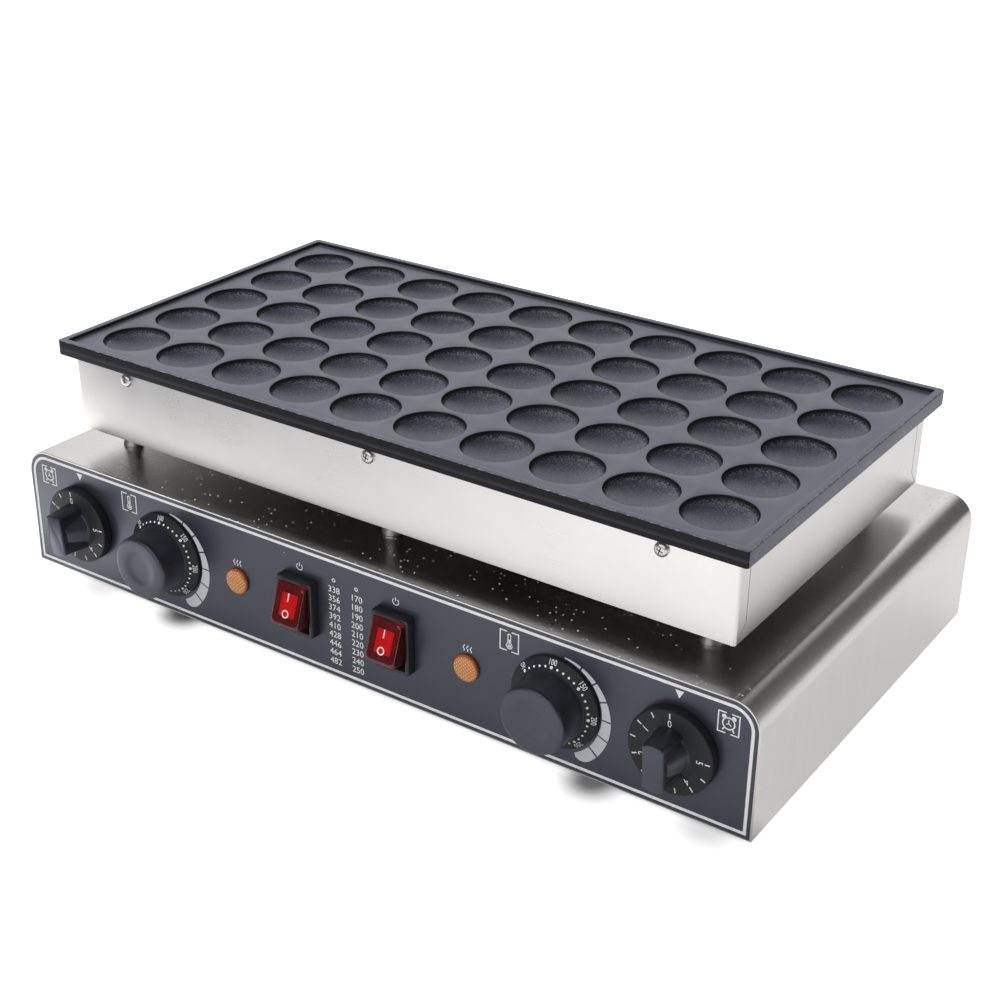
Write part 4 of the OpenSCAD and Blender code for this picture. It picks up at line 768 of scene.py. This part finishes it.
first_mark, mark_step, mark_r, mark_z, skirt_slope = 138.7, 0.94, 25.2, 4.93, 27.4
for label, side in (("left", -1), ("right", 1)):
    at = on_panel(side * thermostat_x, mid_z)
    bm = bmesh.new()
    lathe(bm, [(0, 0.9), (7.4, 0.9), (7.4, 4.4), (21.4, 4.4), (28.4, 0.9), (29.8, 0.85), (30.15, 1.1),
               (30.25, 1.9), (30.05, 2.35), (29.5, 2.68), (23.5, 5.79), (22.9, 6.2), (22.55, 6.8),
               (22.4, 8.0), (22.2, 16.0), (22.0, 24.2), (21.8, 25.5), (21.3, 26.3), (20.4, 26.85),
               (19.2, 27.0), (15.0, 26.9), (12.8, 26.7), (11.2, 26.3), (9.6, 25.8), (7.8, 25.5),
               (4.0, 25.4), (0, 25.4)], 96)
    grip = settle("thermostat_grip_" + label, bm, knob_black, "thermostat_knob_" + label,
                  ["thermostat_knob_" + label], at, 38)
    dull_skirt(grip, 6.0)
    bm = bmesh.new()
    for mark in range(26):
        celsius = 50 + 10 * mark
        a = first_mark - mark_step * (celsius - 50)
        big = celsius % 50 == 0
        slope = at @ Matrix.Rotation(math.radians(a - 90), 4, "Z") @ Matrix.Translation((0, mark_r, mark_z))
        slope = slope @ Matrix.Rotation(math.radians(-skirt_slope), 4, "X")
        ink_shape(bm, circle_path(1.0 if big else 0.72, 12), slope)
        if big:
            outside = slope @ Matrix.Translation((0, 3.1, 0))
            ink_number(bm, str(celsius), 4.9, outside @ Matrix.Diagonal((0.8, 1, 1, 1)))
    bmesh.ops.remove_doubles(bm, verts=bm.verts, dist=0.0005)
    settle("thermostat_scale_" + label, bm, white_ink, "thermostat_knob_" + label, ())

# Timer knobs: black mouldings with an upright ribbed grip bar on a slim hub, pushed on the timer shafts.
# The skirt carries ticks and the minutes in white ink. At rest they stand a few degrees before 0.
skirt_h, half_minute = 7.5, 27
bar_corner, bar_bow, rib_step = 1.0, 1.7, 4.6
rib_outline = ((-0.3, -0.55), (0.22, 0), (-0.3, 0.55))
for label, side, rest in (("left", -1, 7), ("right", 1, 3)):
    at = on_panel(side * timer_x, mid_z) @ Matrix.Rotation(math.radians(rest), 4, "Z")
    bm = bmesh.new()
    lathe(bm, [(0, 0.9), (7.4, 0.9), (7.4, 5.6), (25.4, 5.6), (25.5, 0.9), (26.8, 0.85), (27.15, 1.2),
               (27.25, 6.4), (27.1, 7.0), (26.7, 7.35), (26.0, skirt_h), (15.4, skirt_h), (14.0, 7.7),
               (13.1, 8.2), (12.5, 9.2), (8.6, 22.2), (8.0, 22.9), (7.2, 23.0), (0, 23.0)], 96)
    rows = []
    for z, wide, long in ((6.5, 15.8, 32.6), (12.0, 15.0, 32.0), (18.0, 14.3, 31.3), (24.6, 13.6, 30.6),
                          (25.9, 13.4, 30.4), (26.6, 12.9, 29.9), (27.0, 11.9, 28.9)):
        row = rounded_ring(wide / 2, long / 2, bar_corner, z, 6, 4)
        for p in row:
            if abs(p.y) > long / 2 - bar_corner - 0.1:
                p.y -= math.copysign(bar_bow * (2 * p.x / wide) ** 2, p.y)
        rows.append(row)
    skin(bm, rows, True, True)
    for rib in range(5):
        for sx in (-1, 1):
            y = rib_step * (rib - 2)
            skin(bm, [[Vector((sx * (wide / 2 + dx), y + dy, z)) for dx, dy in rib_outline]
                      for z, wide in ((8.0, 15.5), (25.6, 13.45))], True, True)
    grip = settle("timer_grip_" + label, bm, knob_black, "timer_knob_" + label, ["timer_knob_" + label],
                  at, 38)
    dull_skirt(grip, 8.0)
    bm = bmesh.new()
    skirt = at @ Matrix.Translation((0, 0, skirt_h))
    for half in range(11):
        spoke = skirt @ Matrix.Rotation(math.radians(half_minute * half), 4, "Z")
        ink_line(bm, [(0, 22.2), (0, 25.5)], 0.75, spoke)
        if half % 2 == 0:
            below = spoke @ Matrix.Translation((0, 18.7, 0))
            ink_number(bm, str(half // 2), 6.3, below @ Matrix.Diagonal((0.85, 1, 1, 1)))
    bmesh.ops.remove_doubles(bm, verts=bm.verts, dist=0.0005)
    settle("timer_scale_" + label, bm, white_ink, "timer_knob_" + label, ())

# Rocker switches: black moulded housings snapped into the panel, with a high bezel round a tilting rocker.
# The rocker is a clear red moulding over a bright red core that glows with painted light, and carries the
# usual line and ring in white.
# Its two side walls have a darker red, a painted shade.
switch_z = mid_z + 1.5
rocker_tilt, pivot_z, marks_z = 20, 2.8, 11.68
outer_x, outer_y, cave_x, cave_y = 14.25, 19.83, 11.65, 16.83
bezel_black, tree, shader = finish("switch_black", (0.014, 0.014, 0.016), 0.36)
where = place_of(tree)
cells = add(tree, "ShaderNodeTexVoronoi", {"feature": "DISTANCE_TO_EDGE"}, Vector=where, Scale=1100)
leather = span(tree, cells.outputs["Distance"], 0.0, 0.25)
colour(shader, tint(tree, noise(tree, where, 90, 3), (0.010, 0.010, 0.012), (0.022, 0.022, 0.025)))
dullness(shader, span(tree, noise(tree, where, 70, 3), 0.3, 0.7, 0.3, 0.44))
grain(shader, leather, 0.18, 0.0002)
rocker_red, tree, shader = finish("clear_red", (0.34, 0.02, 0.022), 0.06, Transmission_Weight=0.78,
                                  IOR=1.46, Coat_Weight=0.3)
rub = noise(tree, place_of(tree), 120, 3)
colour(shader, tint(tree, rub, (0.30, 0.016, 0.018), (0.38, 0.024, 0.026)))
dullness(shader, span(tree, rub, 0.3, 0.7, 0.05, 0.12))
painted_shade_red, tree, shader = finish("shaded_red", (0.05, 0.004, 0.005), 0.2, Transmission_Weight=0.3, IOR=1.46)
rub = noise(tree, place_of(tree), 120, 3)
colour(shader, tint(tree, rub, (0.04, 0.003, 0.004), (0.07, 0.006, 0.007)))
# The core's glow is painted light: it emits though it holds no lamp.
glowing_core_red, tree, shader = finish("bright_red_core", (0.80, 0.02, 0.012), 0.3, Emission_Strength=0.8)
vein = noise(tree, place_of(tree), 260, 3, 0.6)
painted_glow_red = tint(tree, span(tree, vein, 0.35, 0.75), (0.90, 0.018, 0.012), (0.66, 0.012, 0.01))
colour(shader, painted_glow_red)
tree.links.new(painted_glow_red, shader.inputs["Emission Color"])
for label, side in (("left", -1), ("right", 1)):
    at = on_panel(side * switch_x, switch_z)
    bm = bmesh.new()
    body = [(12.9, 18.3, 0.6, -28.0), (12.9, 18.3, 0.6, 0.0)]
    bezel = [(0.2, 1.4, 0.0), (0.0, 1.6, 0.3), (0.0, 1.6, 5.9), (0.25, 1.4, 6.6), (0.8, 1.0, 7.0)]
    body += [(outer_x - cut, outer_y - cut, r, z) for cut, r, z in bezel]
    cave = [(0.5, 0.9, 7.0), (0.15, 0.6, 6.8), (0.0, 0.5, 6.4), (0.0, 0.5, -8.5)]
    body += [(cave_x + gap, cave_y + gap, r, z) for gap, r, z in cave]
    skin(bm, [rounded_ring(hx, hy, r, z, 10, 5) for hx, hy, r, z in body], True, True)
    pad = []
    for k in range(13):
        t = k / 12 * 2 - 1
        pad.append((t * 11.6, 17.2 + 1.9 - 1.5 * t * t))
    pad += [(x, 16.9) for x, y in pad[::-1]]
    skin(bm, [[Vector((x, y, z)) for x, y in pad] for z in (6.8, 7.5)], True, True)
    settle("switch_frame_" + label, bm, bezel_black, "cooker", ["switch_housing_" + label],
           at, 35)
    tilt = at @ Matrix.Translation((0, 0, pivot_z)) @ Matrix.Rotation(math.radians(-rocker_tilt), 4, "X")
    bm = bmesh.new()
    shells = [(11.1, 13.85, 2.4, 0.5), (11.25, 14.0, 2.6, 1.2), (11.25, 14.0, 2.6, 10.2),
              (11.1, 13.85, 2.6, 10.9), (10.75, 13.5, 2.5, 11.4), (10.2, 12.95, 2.3, 11.65),
              (9.4, 12.1, 2.0, 11.7)]
    skin(bm, [rounded_ring(hx, hy, r, z, 10, 6) for hx, hy, r, z in shells], True, True)
    cap = settle("rocker_cap_" + label, bm, rocker_red, "rocker_" + label, ["rocker_" + label],
                 tilt, 40)
    # The side faces take the darker red of painted shade.
    cap.data.materials.append(painted_shade_red)
    for face in cap.data.polygons:
        if abs(face.normal.x) > 0.9:
            face.material_index = 1
    bm = bmesh.new()
    core = [(6.0, 7.6, 0.5, 8.6), (6.0, 7.6, 0.5, 9.8), (5.8, 7.4, 0.4, 10.0)]
    skin(bm, [rounded_ring(hx, hy, r, z, 8, 4) for hx, hy, r, z in core], True, True)
    settle("rocker_glow_" + label, bm, glowing_core_red, "rocker_" + label, ["rocker_core_" + label],
           tilt, 40)
    bm = bmesh.new()
    face = tilt @ Matrix.Translation((0, 0, marks_z))
    ink_line(bm, [(0, 2.6), (0, 8.2)], 0.75, face)
    ink_line(bm, circle_path(2.3, 24, 0, 360, 0, -5.6), 0.75, face, ring=True)
    settle("rocker_marks_" + label, bm, white_ink, "rocker_" + label, ())

# Pilot lamps: clear amber lenses with a moulded diamond grid, its pale yellow points a painted highlight,
# inside a plain darker rim.
# Each is pushed through the panel into a white sleeve behind it.
amber, tree, shader = finish("clear_amber", (0.9, 0.42, 0.08), 0.16, Transmission_Weight=0.1,
                             Coat_Weight=0.5)
where = place_of(tree, turn=(0, math.radians(45), 0))
axis = axes(tree, where)
flat = axes(tree, place_of(tree))
grids = []
grid_step = 1.9
for k in (0, 2):
    wave = sums(tree, "SINE", times(tree, axis[k], math.tau / (grid_step * MM)))
    grids.append(span(tree, wave, -0.2, 0.7))
lattice_and_highlight = times(tree, grids[0], grids[1])
off_x = sums(tree, "SUBTRACT", sums(tree, "ABSOLUTE", flat[0]), lamp_x * MM)
off_z = sums(tree, "SUBTRACT", flat[2], mid_z * MM)
square = sums(tree, "ADD", sums(tree, "POWER", off_x, 2.0), sums(tree, "POWER", off_z, 2.0))
off = sums(tree, "SQRT", square)
# The moulded grid is real; its pale yellow points are painted highlights on the facets.
grid = tint(tree, lattice_and_highlight, (0.62, 0.20, 0.03), (1.0, 0.62, 0.20))
rim = span(tree, off, 0.0076, 0.0084)
colour(shader, tint(tree, rim, grid, (0.52, 0.13, 0.025)))
grain(shader, lattice_and_highlight, 0.5, 0.0004)
for label, side in (("left", -1), ("right", 1)):
    bm = bmesh.new()
    lathe(bm, [(0, -12), (6.0, -12), (6.0, 0.0), (8.8, 0.0), (9.0, 0.3), (9.0, 1.5), (8.8, 2.1), (8.2, 2.6),
               (7.4, 2.8), (6.9, 2.65), (6.6, 2.75), (4.0, 3.0), (0, 3.1)], 64)
    settle("lamp_lens_cap_" + label, bm, amber, "cooker", ["lamp_lens_" + label],
           on_panel(side * lamp_x, mid_z), 40)

# Feet and cable gland: black rubber feet, each held to the base plate by a screw,
# and a black nylon gland at the back, clamped to the rear panel by its locknut.
rubber, tree, shader = finish("foot_rubber", (0.02, 0.02, 0.02), 0.7)
dusty = noise(tree, place_of(tree), 300, 4)
colour(shader, tint(tree, dusty, (0.014, 0.014, 0.014), (0.035, 0.035, 0.035)))
dress(rubber, "rubber_feet")
nylon, tree, shader = finish("black_nylon", (0.02, 0.02, 0.022), 0.42)
fine = noise(tree, place_of(tree), 1200, 3)
colour(shader, tint(tree, fine, (0.015, 0.015, 0.017), (0.03, 0.03, 0.032)))
grain(shader, fine, 0.1, 0.0001)
dress(nylon, "cable_gland", "gland_locknut")

# Inner parts: fibre mat, tubular heaters, cases of the controls, terminals, capillaries and sleeved leads.
# The sheets close them in, so each group has one plain finish with a cloudy grain.
for name, pale, deep, rough, metal, members in (
        ("ceramic_fibre", (0.86, 0.85, 0.80), (0.72, 0.70, 0.64), 0.95, 0.0, ["insulation_mat"]),
        ("heater_tube", (0.24, 0.21, 0.19), (0.12, 0.10, 0.10), 0.5, 1.0, ["heating_elements"]),
        ("off_white_case", (0.80, 0.79, 0.74), (0.70, 0.69, 0.64), 0.5, 0.0,
         ["terminal_block", "lamp_body_left", "lamp_body_right", "timer_left", "timer_right",
          "thermostat_left", "thermostat_right"]),
        ("spade_brass", (0.75, 0.56, 0.22), (0.6, 0.42, 0.15), 0.3, 1.0, ["spade_terminals", "earth_stud"]),
        ("capillary_copper", (0.80, 0.42, 0.27), (0.55, 0.28, 0.18), 0.35, 1.0,
         ["capillary_left", "capillary_right"]),
        ("braided_sleeve", (0.72, 0.68, 0.58), (0.50, 0.47, 0.40), 0.8, 0.0,
         ["heater_leads", "mains_leads"])):
    material, tree, shader = finish(name, pale, rough, Metallic=metal)
    cloth = noise(tree, place_of(tree), 420, 4, 0.6)
    colour(shader, tint(tree, span(tree, cloth, 0.3, 0.7), deep, pale))
    grain(shader, cloth, 0.2, 0.0003)
    dress(material, *members)

# Studio: a white floor and surround with soft lamps, and the camera at the photo's viewpoint.
# Zones of floor and surround are darker or lighter in reflections only; the floor's zones are painted shade
# and light, and painted shadows of the knobs lie below them.
floor_bm = bmesh.new()
bmesh.ops.create_grid(floor_bm, x_segments=2, y_segments=2, size=12.0)
floor_mesh = bpy.data.meshes.new("floor")
floor_bm.to_mesh(floor_mesh)
floor_bm.free()
floor = bpy.data.objects.new("floor", floor_mesh)
scene.collection.objects.link(floor)
paper, tree, shader = finish("white_floor", (0.88, 0.88, 0.89), 0.9)
seen = add(tree, "ShaderNodeLightPath").outputs
mirrored = sums(tree, "MAXIMUM", seen["Is Glossy Ray"], seen["Is Transmission Ray"])
where = place_of(tree, (1, 1, 0))
spot = axes(tree, where)
past_x = sums(tree, "SUBTRACT", sums(tree, "ABSOLUTE", spot[0]), base_half * MM)
past_y = sums(tree, "SUBTRACT", sums(tree, "ABSOLUTE", spot[1]), -front_y * MM)
lift = span(tree, sums(tree, "MAXIMUM", past_x, past_y), -0.022, -0.008, 0.06, 0.9)
front = span(tree, spot[1], -0.14, -0.12, 1.0, 0.0)
# A painted shade darkens the floor near the front and its reflection.
painted_near_shade = times(tree, span(tree, past_y, 0.08, 0.14, 0.28, 0.0), span(tree, spot[0], -0.33, -0.22, 0.0, 1.0))
painted_near_shade = sums(tree, "MAXIMUM", painted_near_shade, span(tree, past_y, 0.02, 0.07, 0.45, 0.0))
painted_near_shade = times(tree, painted_near_shade, span(tree, past_x, 0.03, 0.08, 1.0, 0.0))
painted_near_shade = times(tree, painted_near_shade, front)
# A painted ramp and a painted bright patch change the floor's reflection ahead and to the left.
painted_gloss_ramp = times(tree, span(tree, past_y, 0.13, 0.19), span(tree, spot[0], -0.45, 0.05, -0.38, 0.2))
left = times(tree, span(tree, past_y, 0.10, 0.14, 1.0, 0.0), span(tree, spot[0], -0.26, -0.20, 1.5, 0.0))
gloss = sums(tree, "ADD", 0.65, times(tree, front, sums(tree, "ADD", painted_gloss_ramp, left)))
gloss = times(tree, gloss, span(tree, painted_near_shade, 0.0, 0.7, 1.0, 0.15))
gloss = times(tree, gloss, span(tree, spot[1], -1.1, -0.55, 0.1, 1.0))
shade = 0.0
# Painted shadows of the four knobs darken the floor below them.
painted_knob_shadows = ((-0.234, -0.144, 0.3), (-0.158, -0.141, 0.95), (0.176, -0.144, 0.9), (0.254, -0.144, 0.4))
for x, y, depth in painted_knob_shadows:
    far = add(tree, "ShaderNodeVectorMath", {"operation": "DISTANCE"}, i0=where, i1=(x, y, 0))
    painted_shadow = add(tree, "ShaderNodeMapRange", {"interpolation_type": "SMOOTHSTEP"}, i0=far.outputs["Value"],
               i1=0.004, i2=0.028, i3=depth, i4=0.0)
    shade = sums(tree, "MAXIMUM", shade, painted_shadow.outputs[0])
# A painted falloff darkens the floor's colour towards the left.
painted_falloff = times(tree, span(tree, past_y, 0.13, 0.19), span(tree, spot[0], -0.45, 0.0, 0.75, 0.0))
painted_floor_shade = sums(tree, "MAXIMUM", shade, sums(tree, "MAXIMUM", painted_near_shade, times(tree, painted_falloff, front)))
colour(shader, tint(tree, painted_floor_shade, (0.88, 0.88, 0.89), (0.08, 0.08, 0.09)))
lift = times(tree, lift, sums(tree, "SUBTRACT", 1.0, shade))
mirrored = times(tree, mirrored, gloss)
shown = sums(tree, "MAXIMUM", seen["Is Camera Ray"], mirrored)
glow = add(tree, "ShaderNodeEmission", Color=(1, 1, 1, 1), Strength=times(tree, shown, lift))
both = add(tree, "ShaderNodeAddShader", i0=shader.outputs[0], i1=glow.outputs[0])
tree.links.new(both.outputs[0], tree.nodes["Material Output"].inputs["Surface"])
floor_mesh.materials.append(paper)

world = bpy.data.worlds.new("studio")
scene.world = world
world.use_nodes = True
tree = world.node_tree
back = tree.nodes["Background"]
seen = add(tree, "ShaderNodeLightPath").outputs
back.inputs["Color"].default_value = (1, 1, 1, 1)
toward = add(tree, "ShaderNodeSeparateXYZ", i0=add(tree, "ShaderNodeTexCoord").outputs["Generated"]).outputs
sweep = span(tree, toward[2], 0.50, 0.74, 1.36, 0.06)
sweep = times(tree, sweep, span(tree, toward[2], 0.12, 0.36, 0.75, 1.0))
behind = span(tree, toward[1], 0.2, 0.6, 0.12, 1.0)
aside = span(tree, toward[0], -0.10, 0.22, 1.0, 0.12)
aside = sums(tree, "ADD", aside, span(tree, toward[0], 0.60, 0.75, 0.0, 0.9))
room = times(tree, times(tree, sweep, behind), aside)
tree.links.new(sums(tree, "MAXIMUM", room, seen["Is Camera Ray"]), back.inputs["Strength"])


def softbox(name, place, aim, size, power):
    """A rectangular soft lamp that faces a point."""
    lamp = bpy.data.lights.new(name, "AREA")
    lamp.shape = "RECTANGLE"
    lamp.size, lamp.size_y = size
    lamp.energy = power
    holder = bpy.data.objects.new(name, lamp)
    holder.location = place
    holder.rotation_euler = (Vector(aim) - Vector(place)).to_track_quat("-Z", "Y").to_euler()
    scene.collection.objects.link(holder)
    return holder


softbox("front_light", (0.10, -1.75, 0.95), (0, -0.1, 0.1), (2.2, 1.1), 12)
for name, place, size, power in (("left_fill", (-0.85, -0.15, 1.40), (0.9, 0.9), 13),
                                 ("front_fill", (0.10, -1.75, 0.95), (2.2, 1.1), 9)):
    softbox(name, place, (0, 0, 0.12), size, power).visible_glossy = False

eye = bpy.data.cameras.new("camera")
eye.sensor_width = 36.0
eye.lens = 62.083
eye.clip_end = 50
holder = bpy.data.objects.new("camera", eye)
scene.collection.objects.link(holder)
look = Vector((-0.50248, 0.74111, -0.44527)).normalized()
right = look.cross(Vector((0, 0, 1))).normalized()
up = right.cross(look)
roll = math.radians(0.754)
right, up = right * math.cos(roll) + up * math.sin(roll), up * math.cos(roll) - right * math.sin(roll)
turn = Matrix((right, up, -look)).transposed().to_4x4()
holder.matrix_world = Matrix.Translation((0.60327, -0.87580, 0.60666)) @ turn
scene.camera = holder

scene.view_settings.view_transform = "Standard"
